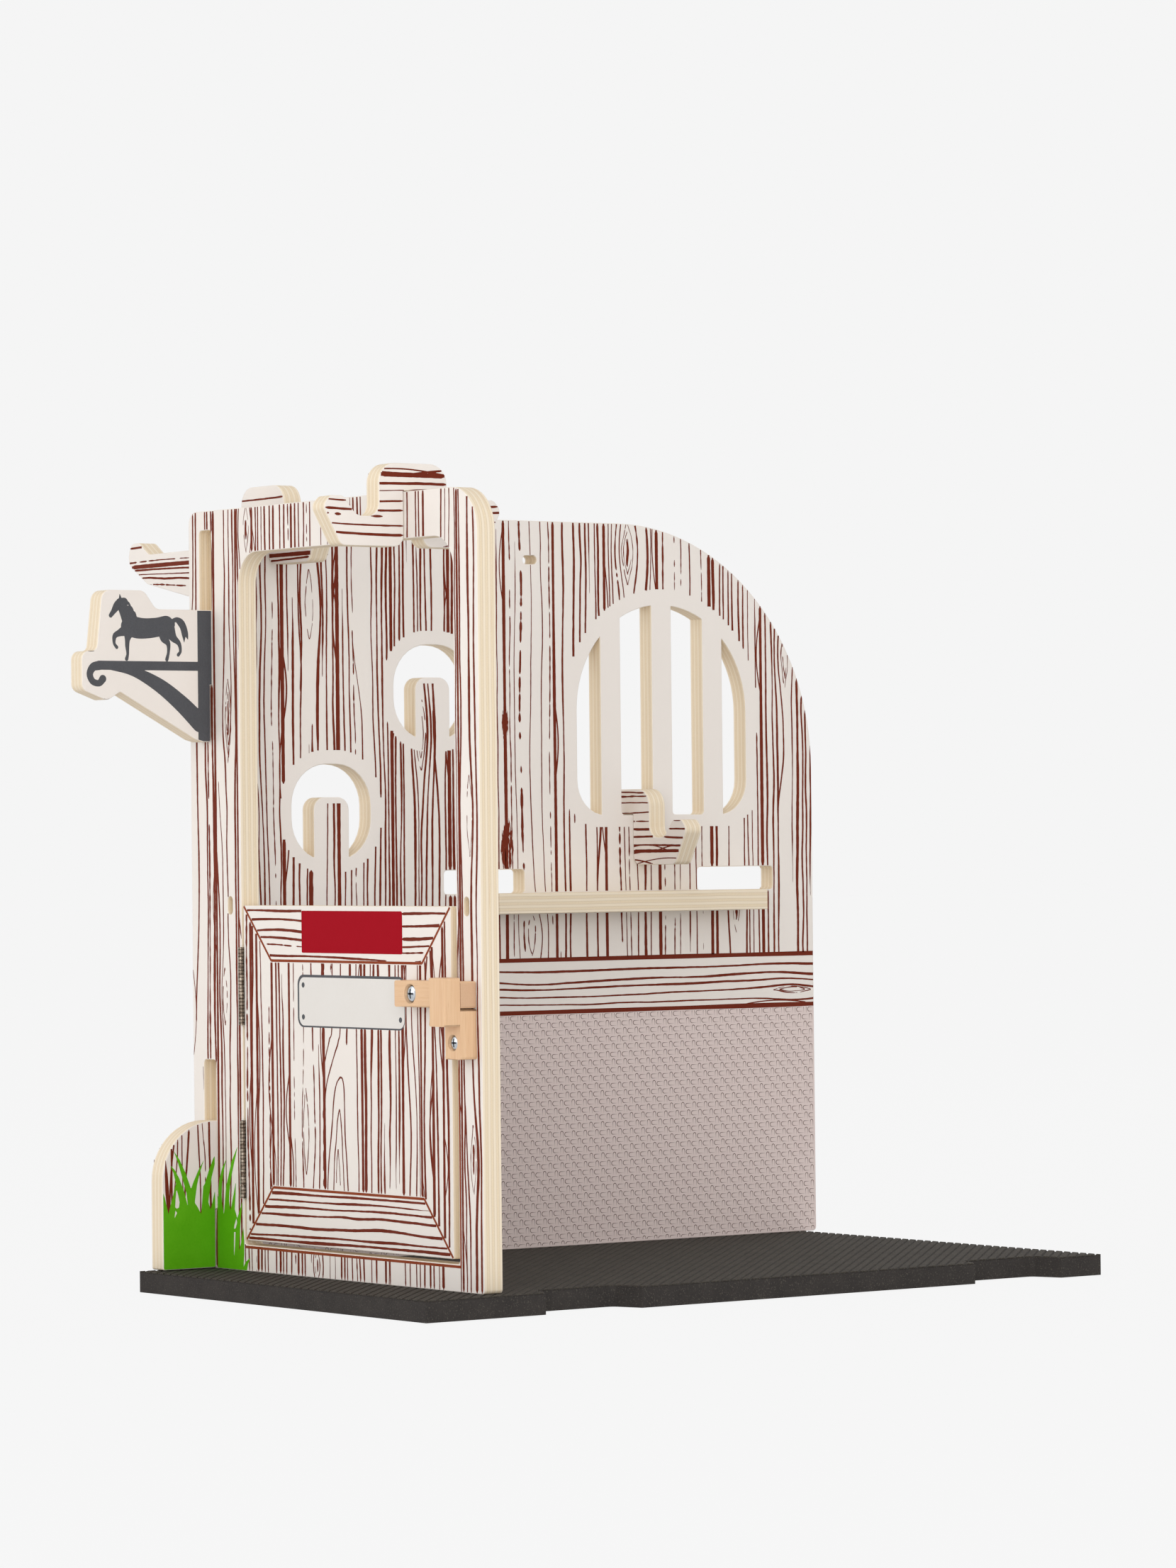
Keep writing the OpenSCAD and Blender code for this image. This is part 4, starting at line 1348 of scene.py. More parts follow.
    def _rings(self, knot: Knot, rng: np.random.Generator) -> None:
        """Draws the broken rings inside a knot, and its heart.

        Args:
            knot: The knot.
            rng: Source of the numbers.
        """
        across, middle = self._middle(knot.across, knot.up)
        for ring in range(knot.rings):
            size = 0.78 - 0.5 * ring / knot.rings
            half = knot.half_length * size
            for side in (-1, 1):
                along = np.arange(middle - half, middle + half, self.step * 0.6)
                share = np.clip(1 - ((along - middle) / half) ** 2, 0, 1)
                bow = knot.half_width * size * share ** rng.uniform(0.9, 1.5)
                ends = along[0], along[-1]
                wobble = 0.3 * Ripple(rng, 7.0, *ends)(along) + 0.06 * Ripple(rng, 2.0, *ends)(along)
                keep = Ripple(rng, 6.0, *ends)(along) + 0.6 * Ripple(rng, 1.8, *ends)(along) > -0.45
                width = rng.uniform(0.16, 0.3) * (1 + 0.4 * Ripple(rng, 3.0, *ends)(along))
                self._cut(across + side * bow + wobble, along, width, keep)
        if knot.heart:
            half = knot.half_length * 0.34
            for _ in range(3):
                along = np.arange(middle - half, middle + half, self.step * 0.4)
                share = np.clip(1 - ((along - middle) / half) ** 2, 0, 1)
                path = across + rng.uniform(-0.4, 0.4) + 0.35 * Ripple(rng, 3.0, along[0], along[-1])(along)
                self._cut(path, along, 0.1 + 0.42 * share, np.ones(len(along), bool))

    def _blot(self, blot: Blot, rng: np.random.Generator) -> None:
        """Draws a ragged patch as many short lines that nearly touch.

        Args:
            blot: The patch.
            rng: Source of the numbers.
        """
        across, middle = self._middle(blot.across, blot.up)
        count = int(blot.width / 0.55)
        for number in range(count):
            aside = (number / max(count - 1, 1) - 0.5) * (blot.width - 0.6)
            reach = blot.half_length * math.sqrt(max(1 - (2.05 * aside / blot.width) ** 2, 0.12))
            low = middle - reach * rng.uniform(0.7, 1.05)
            high = middle + reach * rng.uniform(0.7, 1.05)
            along = np.arange(low, high, 0.5)
            ends = along[0], along[-1]
            fine, wide = Ripple(rng, 1.1, *ends)(along), Ripple(rng, 4.0, *ends)(along)
            share = np.clip(np.minimum(along - low, high - along) / 3.0, 0.15, 1)
            keep = wide + fine > -1.15
            self._cut(across + aside + 0.25 * wide, along, share * (0.36 + 0.16 * fine), keep)

    def _flame(self, flame: Flame, rng: np.random.Generator) -> None:
        """Draws nested arches.

        Args:
            flame: The arches.
            rng: Source of the numbers.
        """
        across, middle = self._middle(flame.across, flame.tip)
        for width, points in flame.LINES:
            line = smooth(points, 60) * flame.size
            ends = 0.0, 60.0
            wobble = 0.1 * Ripple(rng, 5.0, *ends)(np.arange(60.0))
            rough = 1 + 0.2 * Ripple(rng, 6.0, *ends)(np.arange(60.0)) + 0.08 * Ripple(rng, 1.0, *ends)(np.arange(60.0))
            path = across + flame.lean * line[:, 0] + wobble
            self._cut(path, middle + line[:, 1], width / 2 * rough, np.ones(60, bool))

    def _cut(self, path: np.ndarray, along: np.ndarray, half: np.ndarray, keep: np.ndarray) -> None:
        """Trims one line to the region and keeps its runs.

        Args:
            path: Places across the grain.
            along: Places along the grain.
            half: Half width at each place.
            keep: Which places have ink.
        """
        across, up = (along, path) if self.lying else (path, along)
        hard, soft = self.hard(across, up), self.soft(across, up)
        room = np.minimum(hard - EASE, soft)
        room = np.where(keep, room, np.minimum(room, -0.3))
        points = np.column_stack([across, up])
        size = np.clip(half, 0.05, np.maximum(np.minimum(hard - EASE + 0.05, soft * 3 + 0.12), 0.06))
        run_points: list[np.ndarray] = []
        run_sizes: list[float] = []
        for i in range(len(points)):
            if room[i] > 0:
                if not run_points and i > 0:
                    share = room[i] / (room[i] - room[i - 1])
                    run_points.append(points[i] + (points[i - 1] - points[i]) * share)
                    run_sizes.append(size[i] * (1.0 if keep[i - 1] else 0.35))
                run_points.append(points[i])
                run_sizes.append(size[i])
                continue
            if run_points:
                share = room[i - 1] / (room[i - 1] - room[i])
                run_points.append(points[i - 1] + (points[i] - points[i - 1]) * share)
                run_sizes.append(size[i - 1] * (1.0 if keep[i] else 0.35))
                self._keep(run_points, run_sizes)
            run_points, run_sizes = [], []
        self._keep(run_points, run_sizes)

    def _keep(self, points: list[np.ndarray], sizes: list[float]) -> None:
        """Keeps a run of points as a line if it is long enough to print."""
        if len(points) > 2:
            self.lines.append((np.array(points), np.array(sizes)))


def strand_mesh(name: str, lines: Iterable[tuple[np.ndarray, np.ndarray]], face: Face) -> bpy.types.Mesh:
    """Makes the flat wire drawing that the strand tree sweeps.

    Args:
        name: The mesh's name.
        lines: Points and half widths of each line, in board millimetres.
        face: The face that takes the drawing.

    Returns:
        A mesh of edges with a half_width at each point, in metres.
    """
    points: list[tuple[float, float, float]] = []
    sizes: list[float] = []
    edges: list[tuple[int, int]] = []
    for number, (line, half) in enumerate(lines):
        first = len(points)
        height = number % LAYERS * LAYER * MM
        points += [(face.sign * float(a) * MM, float(b) * MM, height) for a, b in line]
        sizes += [float(h) * MM for h in half]
        edges += [(i, i + 1) for i in range(first, len(points) - 1)]
    mesh = bpy.data.meshes.new(name)
    mesh.from_pydata(points, edges, [])
    mesh.attributes.new("half_width", "FLOAT", "POINT").data.foreach_set("value", sizes)
    return mesh


def traced(depth: Depth, box: tuple[float, float, float, float], cell: float) -> tuple[list[Any], list[Any]]:
    """Traces the line where a depth is nought.

    Args:
        depth: The shape's depth.
        box: Left, low, right and high of the area to look in.
        cell: Size of the cells that it is looked at in.

    Returns:
        The line's points and its edges, with straight runs thinned.
    """
    left, low, right, high = box
    across = np.arange(left - cell, right + 2 * cell, cell)
    up = np.arange(low - cell, high + 2 * cell, cell)
    grid = depth(*np.meshgrid(across, up, indexing="ij"))
    grid = np.where(np.abs(grid) < 1e-5, -1e-5, grid)
    shown = grid > 0
    mixed = shown[:-1, :-1].astype(int) + shown[1:, :-1] + shown[1:, 1:] + shown[:-1, 1:]
    near: dict[Any, list[Any]] = {}
    spots: dict[Any, tuple[float, float]] = {}
    for i, j in zip(*np.nonzero((mixed > 0) & (mixed < 4))):
        ring = [(i, j), (i + 1, j), (i + 1, j + 1), (i, j + 1)]
        crossed = []
        for one, two in zip(ring, ring[1:] + ring[:1]):
            if shown[one] != shown[two]:
                key = (min(one, two), max(one, two))
                t = grid[one] / (grid[one] - grid[two])
                spots[key] = (
                    float(across[one[0]] + (across[two[0]] - across[one[0]]) * t),
                    float(up[one[1]] + (up[two[1]] - up[one[1]]) * t),
                )
                crossed.append(key)
        for one, two in zip(crossed[::2], crossed[1::2]):
            near.setdefault(one, []).append(two)
            near.setdefault(two, []).append(one)
    points: list[Any] = []
    edges: list[Any] = []
    left_over = set(near)
    while left_over:
        start = min(left_over)
        loop = [start]
        left_over.discard(start)
        while True:
            following = [k for k in near[loop[-1]] if k in left_over]
            if not following:
                break
            loop.append(following[0])
            left_over.discard(following[0])
        thin = thinned(np.array([spots[k] for k in loop]), 0.012)
        if len(thin) > 2:
            first = len(points)
            points += [tuple(p) for p in thin]
            count = len(thin)
            edges += [(first + n, first + (n + 1) % count) for n in range(count)]
    return points, edges


def thinned(line: np.ndarray, slack: float) -> np.ndarray:
    """Drops the points that a line does not need.

    Args:
        line: The line's points.
        slack: How far it may move.

    Returns:
        The points that are left.
    """
    keep = np.zeros(len(line), bool)
    keep[[0, len(line) // 2, -1]] = True
    stack = [(0, len(line) // 2), (len(line) // 2, len(line) - 1)]
    while stack:
        low, high = stack.pop()
        if high - low < 2:
            continue
        run = line[high] - line[low]
        away = line[low + 1 : high] - line[low]
        gap = np.abs(run[0] * away[:, 1] - run[1] * away[:, 0]) / max(float(np.hypot(*run)), 1e-9)
        worst = int(gap.argmax()) + low + 1
        if gap.max() > slack:
            keep[worst] = True
            stack += [(low, worst), (worst, high)]
    return line[keep]


@dataclass
class Printer:
    """Prints lines and shapes on the faces of boards."""

    trees: Trees
    finishes: Finishes

    def lines(
        self,
        name: str,
        lines: Iterable[tuple[np.ndarray, np.ndarray]],
        face: Face,
        ink: bpy.types.Material,
        body: str,
        lift: float = INK_LIFT,
    ) -> bpy.types.Object:
        """Prints lines as flat ribbons.

        Args:
            name: The piece's name.
            lines: Points and half widths of each line, in board millimetres.
            face: The face that takes them.
            ink: Their ink.
            body: The body that they ride on.
            lift: How far they stand proud, in millimetres.

        Returns:
            The piece.
        """
        piece = link_object(name, strand_mesh(name, lines, face))
        values = {
            "Width Factor": 1.0,
            "Turn": tuple(face.turn().to_euler()),
            "Place": tuple(face.origin(lift)),
            "Ink": ink,
        }
        baked(piece, self.trees.strands, values)
        facing(piece, face.normal)
        return dressed(piece, body, "printed_ply")

    def shape(
        self,
        name: str,
        depth: Depth,
        box: tuple[float, float, float, float],
        cell: float,
        face: Face,
        ink: bpy.types.Material,
        body: str,
        lift: float = INK_LIFT,
    ) -> bpy.types.Object:
        """Prints a filled shape whose edge is where its depth is nought.

        Args:
            name: The piece's name.
            depth: The shape's depth.
            box: Left, low, right and high of the area to look in, in board millimetres.
            cell: Size of the cells that the shape is cut into.
            face: The face that takes it.
            ink: Its ink.
            body: The body that it rides on.
            lift: How far it stands proud, in millimetres.

        Returns:
            The piece.
        """
        points, edges = traced(depth, box, cell)
        found = delaunay_2d_cdt([Vector(p) for p in points], edges, [], 0, 1e-6)
        middles = np.array([np.mean([found[0][i] for i in ring], axis=0) for ring in found[2]])
        inside = depth(middles[:, 0], middles[:, 1]) > 0
        turn, origin = face.turn(), face.origin(lift)
        spots = [origin + turn @ Vector((face.sign * v.x * MM, v.y * MM, 0)) for v in found[0]]
        data = bpy.data.meshes.new(name)
        data.from_pydata(spots, [], [ring for ring, shown in zip(found[2], inside) if shown])
        data.materials.append(ink)
        piece = link_object(name, data)
        facing(piece, face.normal)
        return dressed(piece, body, "printed_ply")


def stroke(points: Sequence[tuple[float, float]], radii: Sequence[float], samples: int = 40) -> Depth:
    """Makes the depth inside a brush stroke that follows a smooth line.

    Args:
        points: Points that the line passes through.
        radii: Half width of the stroke at each point.
        samples: How many discs make up the stroke.

    Returns:
        A depth function.
    """
    discs = smooth([(*point, radius) for point, radius in zip(points, radii)], samples)
    discs[:, 2] = np.maximum(discs[:, 2], 0.02)

    def depth(across: np.ndarray, up: np.ndarray) -> np.ndarray:
        """The depth at points."""
        best = np.full(np.shape(across), -1e9)
        for x, y, r in discs:
            best = np.maximum(best, r - np.hypot(across - x, up - y))
        return best

    return depth


@dataclass
class Board:
    """A plywood board: an eased copy of its CAD node, painted on both faces."""

    node: str
    body: str
    across_x: bool
    middle: float
    finishes: Finishes
    printer: Printer
    nodes: dict[str, bpy.types.Object]
    ease: float = 0.35
    base_top: float = 0.0

    def near(self) -> Face:
        """The face that the photograph's side sees."""
        if self.across_x:
            return Face(Side.INNER, self.middle + BOARD / 2)
        return Face(Side.FRONT, self.middle - BOARD / 2)

    def far(self) -> Face:
        """The face on the other side."""
        if self.across_x:
            return Face(Side.OUTER, self.middle - BOARD / 2)
        return Face(Side.REAR, self.middle + BOARD / 2)

    def outline(self, face: Face) -> Outline:
        """The edge of one of the board's faces."""
        return Outline.of(self.nodes[self.node], face)

    def build(self) -> bpy.types.Object:
        """Makes the dressed board that stands for the CAD node.

        Returns:
            The board.
        """
        name = f"{self.node}_board"
        finish = PaintedPly(
            f"Painted {self.node.replace('_', ' ')}",
            self.across_x,
            self.middle,
            self.finishes.effects,
            self.base_top,
        )
        piece = eased_copy(self.nodes[self.node], name, self.ease, 2, finish.build())
        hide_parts(self.node)
        return dressed(piece, self.body, "printed_ply")


def eased_copy(
    node: bpy.types.Object,
    name: str,
    ease: float,
    steps: int,
    material: bpy.types.Material,
    holes: bool = True,
) -> bpy.types.Object:
    """Copies a CAD node with its corners eased.

    Args:
        node: The CAD node's object.
        name: The new piece's name.
        ease: Width of the eased corners, in millimetres.
        steps: How many facets a corner gets.
        material: The piece's material.
        holes: Whether the rims of small round holes are eased too.

    Returns:
        The piece.
    """
    mesh = bmesh.new()
    mesh.from_mesh(node.data)
    bmesh.ops.remove_doubles(mesh, verts=mesh.verts, dist=1e-6)
    for axis in range(3):
        places = [v.co[axis] for v in mesh.verts]
        cuts = int((max(places) - min(places)) / (CUT_PITCH * MM))
        for number in range(1, cuts + 1):
            plane = [0.0, 0.0, 0.0]
            plane[axis] = min(places) + (max(places) - min(places)) * number / (cuts + 1)
            way = Vector([1.0 if i == axis else 0.0 for i in range(3)])
            whole = [*mesh.verts, *mesh.edges, *mesh.faces]
            made = bmesh.ops.bisect_plane(mesh, geom=whole, dist=1e-7, plane_co=plane, plane_no=way)
            for edge in (e for e in made["geom_cut"] if isinstance(e, bmesh.types.BMEdge)):
                edge.seam = True
    bmesh.ops.dissolve_limit(
        mesh, angle_limit=math.radians(0.5), verts=mesh.verts, edges=mesh.edges, delimit={"SEAM"}
    )
    weights = mesh.edges.layers.float.new("bevel_weight_edge")
    for edge in mesh.edges:
        turned = len(edge.link_faces) == 2 and edge.calc_face_angle() > math.radians(40)
        if turned and (holes or edge.calc_length() > ROUND_FACET * MM):
            edge[weights] = 1.0
    data = bpy.data.meshes.new(name)
    mesh.to_mesh(data)
    mesh.free()
    data.materials.clear()
    data.materials.append(material)
    piece = link_object(name, data)
    bevel = piece.modifiers.new("Ease", "BEVEL")
    bevel.width = ease * MM
    bevel.segments = steps
    bevel.limit_method = "WEIGHT"
    bevel.use_clamp_overlap = False
    bevel.miter_outer = "MITER_ARC"
    piece.modifiers.new("Normals", "WEIGHTED_NORMAL").keep_sharp = True
    for polygon in data.polygons:
        polygon.use_smooth = True
    data.set_sharp_from_angle(angle=math.radians(50))
    return baked(piece, None, {})


@dataclass
class SideWall:
    """The side wall: grain, barred window border, beam, marked base, sign and grass foot."""

    board: Board
    window: tuple[float, float] = (269.7, 267.3)
    border_r: float = 60.6
    border_low: float = 208.8
    cut_outs: Sequence[tuple[float, float]] = ((67.9, 240.4), (128.2, 299.0))
    beam: tuple[float, float] = (116.8, 142.9)
    beam_line: float = 2.15

    def window_border(self) -> Depth:
        """The unprinted field around the window."""
        y, z = self.window
        r, low = self.border_r, self.border_low
        corners = [(y - r, z), (y - r, low + 10.5), (y - r + 14, low), (y + r - 14, low), (y + r, low + 10.5)]
        return any_of(in_disc(y, z, r + 0.9), in_polygon([*corners, (y + r, z)]))

    def tongue_borders(self) -> Depth:
        """The unprinted fields around the two tongue cut-outs, with the tongues left out."""
        parts = []
        for y, top in self.cut_outs:
            field_ = in_box(y - 29.2, top - 52.5, y + 29.2, top + 6.8, 25.0)
            tongue = in_box(y - 6.4, top - 70, y + 6.4, top - 19.0)
            parts.append(all_of(field_, outside(tongue)))
        return any_of(*parts)

    def build(self) -> None:
        """Makes the board and everything printed on it."""
        self.board.build()
        for face, far in ((self.board.near(), False), (self.board.far(), True)):
            self._grain(face, far)
            self._beam(face, far)
            self._sign(face, far)
            self._foot_grass(face, far)
        self._marks()

    def _grain(self, face: Face, far: bool) -> None:
        """Prints the upright grain over the beam and on the foot.

        Args:
            face: The face that takes it.
            far: Whether it is the face outdoors.
        """
        outline = self.board.outline(face)
        wall = in_box(10.4, self.beam[1] + 0.6, 400, 400)
        shelf = in_box(152.8, 165.9, 321.2, 176.7) if not far else in_box(-1, -1, -0.5, -0.5)
        soft = all_of(wall, outside(self.window_border()), outside(self.tongue_borders()), outside(shelf, 0.1))
        grain = Grain(
            outline.depth,
            soft,
            (
                (10.2, Plank.MIXED),
                (40.1, Plank.CLOSE),
                (72.2, Plank.MIXED),
                (103.7, Plank.CLOSE),
                (138.0, Plank.CLOSE),
                (171.9, Plank.OPEN),
                (202.5, Plank.CLOSE),
                (233.8, Plank.MIXED),
                (267.3, Plank.OPEN),
                (300.4, Plank.MIXED),
                (333.5, Plank.CLOSE),
            ),
            366.0,
            (self.beam[1], 361.5),
            seed=41 if far else 7,
            knots=(
                Knot(248.9, 347.0, 4.6, 21.0, 2),
                Knot(187.0, 156.0, 3.0, 14.0, 1, False),
                Knot(349.0, 296.0, 2.6, 22.0, 2, False),
                Knot(121.0, 256.0, 3.4, 24.0, 2),
                Knot(56.0, 318.0, 2.8, 22.0, 1, False),
                Knot(316.0, 166.0, 2.6, 15.0, 1),
            ),
            weight=1.12,
            blots=(Blot(171.9, 261.0, 10.0, 3.9), Blot(172.4, 199.0, 15.0, 7.6)),
        )
        foot = Grain(
            outline.depth,
            in_box(-30.5, 0.3, -1.2, 70.3),
            ((-25.2, Plank.MIXED),),
            -1.0,
            (0, 70),
            seed=16,
            pitch=1.05,
            joint=0.9,
        )
        wedge = np.array([(-28.7, 52.5, 0.12), (-28.4, 46.0, 0.8), (-28.0, 38.0, 1.05), (-27.6, 31.0, 0.8), (-27.0, 25.0, 0.3)])
        place = "outer" if far else "inner"
        lines = [*grain.lay(), *foot.lay(), (wedge[:, :2], wedge[:, 2])]
        self.board.printer.lines(f"wall_grain_{place}", lines, face, self.board.finishes.grain_ink, "frame")

    def _beam(self, face: Face, far: bool) -> None:
        """Prints the beam: two heavy lines with lying grain between them.

        Args:
            face: The face that takes it.
            far: Whether it is the face outdoors.
        """
        outline = self.board.outline(face)
        low, high = self.beam
        grain = Grain(
            outline.depth,
            in_box(10.4, low + 1.0, 400, high - 1.0),
            ((low, Plank.LYING),),
            high,
            (10, 366),
            seed=23 if far else 5,
            lying=True,
            pitch=1.12,
            weight=1.1,
            knots=(Knot(352.0, 124.5, 2.2, 16.0, 2, False), Knot(190.0, 133.0, 1.2, 20.0, 0, False)),
        )
        lines = grain.lay()
        for level in (low, high):
            run = np.linspace(10.3, 365.6, 90)
            swell = 0.12 * Ripple(np.random.default_rng(int(level)), 30.0, 0, 380)(run)
            lines.append((np.column_stack([run, level + 0 * run]), self.beam_line / 2 * (1 + swell)))
        place = "outer" if far else "inner"
        self.board.printer.lines(f"wall_beam_{place}", lines, face, self.board.finishes.grain_ink, "frame")

    def _marks(self) -> None:
        """Prints the small bent marks on the base of the inner face."""
        face = self.board.near()
        angle = np.linspace(math.pi, 0, 7)
        points = [(-0.85, -2.7), (-0.85, -1.8), (-0.85, -0.8)]
        points += [(0.85 * math.cos(a), 0.85 * math.sin(a)) for a in angle]
        points += [(0.85, -0.8), (0.85, -1.8), (0.85, -2.7)]
        fades = [0.95, 0.7, 0.4, 0.1, 0.0, 0.0, 0.0, 0.0, 0.0, 0.1, 0.25, 0.55, 0.9]
        sizes = [0.09, 0.11, 0.13, 0.16, 0.19, 0.2, 0.2, 0.2, 0.19, 0.17, 0.14, 0.12, 0.09]
        mesh = bpy.data.meshes.new("wall_marks")
        mesh.from_pydata([(a * MM, b * MM, 0) for a, b in points], [(i, i + 1) for i in range(12)], [])
        mesh.attributes.new("half_width", "FLOAT", "POINT").data.foreach_set("value", [h * MM for h in sizes])
        mesh.attributes.new("fade", "FLOAT", "POINT").data.foreach_set("value", fades)
        piece = link_object("wall_marks", mesh)
        first = (8.375, 1.8)
        values = {
            "Columns": 51,
            "Rows": 30,
            "Pitch Across": 7.25 * MM,
            "Pitch Up": 3.9 * MM,
            "Lying Shift": (2.7 * MM, -0.8 * MM, 0.0),
            "Low Corner": ((10.4 - first[0]) * MM, (0.4 - first[1]) * MM, 0.0),
            "High Corner": ((365.5 - first[0]) * MM, (115.8 - first[1]) * MM, 0.0),
            "Turn": tuple(face.turn().to_euler()),
            "Place": tuple(face.origin(INK_LIFT) + Vector((0, first[0], first[1])) * MM),
            "Ink": self.board.finishes.mark_ink,
        }
        baked(piece, self.board.printer.trees.marks, values)
        facing(piece, face.normal)
        dressed(piece, "frame", "printed_ply")

    def _sign(self, face: Face, far: bool) -> None:
        """Prints the sign: a post band, a scrolled bracket and a trotting horse.

        Args:
            face: The face that takes it.
            far: Whether it is the face outdoors.
        """
        outline = self.board.outline(face)
        band = in_box(-7.9, 240, 9.8, 330)
        bar = in_box(-64.2, 284.9, -7.0, 289.2, 1.0)
        scroll = stroke(
            [(-62.5, 287.0), (-66.2, 286.1), (-68.0, 282.8), (-66.4, 279.4), (-62.9, 278.6), (-60.9, 280.6)],
            [2.2, 2.0, 1.75, 1.6, 1.55, 1.9],
            60,
        )
        brace = stroke(
            [(-58.0, 286.2), (-44.0, 284.2), (-30.0, 278.0), (-17.5, 269.3), (-7.0, 260.2)],
            [1.0, 2.2, 3.4, 4.1, 4.6],
            80,
        )
        iron = any_of(bar, scroll, brace, self._horse())
        before = all_of(any_of(band, all_of(iron, in_box(-80, 200, -6, 330))), in_box(-80, 240, -0.1, 330))
        shape = all_of(before, lambda a, b: outline.depth(a, b) - 0.3)
        place = "outer" if far else "inner"
        self.board.printer.shape(
            f"sign_{place}", shape, (-71, 250, 0, 322), 0.22, face, self.board.finishes.slate_ink, "frame"
        )

    def _horse(self) -> Depth:
        """Draws a trotting horse from brush strokes, facing away from the panel.

        Returns:
            The depth inside the horse.
        """
        barrel = stroke(
            [(-46.2, 305.6), (-41.5, 304.8), (-36.0, 304.7), (-30.5, 305.2), (-25.6, 306.2)],
            [4.4, 4.9, 4.7, 4.4, 4.7],
            50,
        )
        back = stroke([(-44.5, 308.4), (-38.0, 307.8), (-31.0, 308.3), (-25.5, 308.6), (-22.9, 306.9)], [2.2, 1.8, 1.6, 2.2, 2.4])
        neck = stroke([(-45.3, 307.6), (-47.6, 311.4), (-49.7, 314.6), (-51.2, 316.9)], [4.3, 3.3, 2.5, 1.9])
        head = stroke([(-51.0, 317.0), (-52.6, 315.3), (-54.6, 312.6), (-56.2, 310.6)], [1.9, 2.0, 1.35, 1.05])
        ear = stroke([(-50.9, 318.0), (-50.9, 319.4), (-51.2, 320.9)], [0.8, 0.55, 0.05], 16)
        mane = [
            stroke([(-50.2, 318.0), (-48.2, 318.2), (-46.4, 317.2)], [1.0, 0.8, 0.05], 16),
            stroke([(-48.8, 316.4), (-46.6, 316.5), (-44.8, 315.0)], [1.2, 0.8, 0.05], 16),
            stroke([(-47.2, 314.2), (-45.0, 314.2), (-43.2, 312.4)], [1.3, 0.9, 0.05], 16),
            stroke([(-45.6, 311.8), (-43.4, 311.9), (-41.8, 310.3)], [1.3, 0.9, 0.05], 16),
        ]
        tail = [
            stroke([(-22.0, 308.3), (-19.2, 309.2), (-16.4, 307.6), (-14.6, 303.4), (-13.2, 299.6)], [1.1, 1.1, 1.3, 1.3, 0.1]),
            stroke([(-19.0, 308.6), (-16.6, 305.6), (-15.6, 301.8), (-15.4, 298.4)], [1.1, 1.2, 1.0, 0.1]),
        ]
        legs = [
            stroke([(-46.2, 303.4), (-47.0, 299.6), (-47.2, 296.4), (-47.0, 292.6), (-47.6, 290.2)], [3.0, 1.5, 1.15, 0.75, 0.95]),
            stroke([(-47.8, 303.8), (-51.2, 302.5), (-54.0, 301.0), (-54.4, 297.6), (-53.0, 295.6)], [2.8, 1.7, 1.25, 0.75, 0.85]),
            stroke([(-25.4, 304.4), (-26.6, 300.6), (-24.4, 297.6), (-24.3, 293.6), (-25.2, 290.2)], [4.2, 2.4, 1.25, 0.8, 0.95]),
            stroke([(-24.2, 304.6), (-21.6, 300.6), (-18.4, 297.8), (-17.6, 294.2), (-18.8, 292.4)], [3.6, 2.0, 1.15, 0.75, 0.85]),
        ]
        return any_of(barrel, back, neck, head, ear, *mane, *tail, *legs)

    def _foot_grass(self, face: Face, far: bool) -> None:
        """Prints grass on the foot.

        Args:
            face: The face that takes it.
            far: Whether it is the face outdoors.
        """
        outline = self.board.outline(face)
        tuft = in_polygon([*FOOT_GRASS, (2.0, 41.0), (2.0, -3.0), (-33.0, -3.0), (-33.0, 41.0)])
        gaps = any_of(in_polygon(FOOT_GAPS[0]), in_polygon(FOOT_GAPS[1]))
        inside = in_box(-40, 0.1, -1.1, 70)
        shape = all_of(tuft, outside(gaps), inside, lambda a, b: outline.depth(a, b) - 0.3)
        place = "outer" if far else "inner"
        self.board.printer.shape(
            f"foot_grass_{place}", shape, (-31, 0, 0, 60), 0.3, face, self.board.finishes.grass_ink, "frame", 0.06
        )


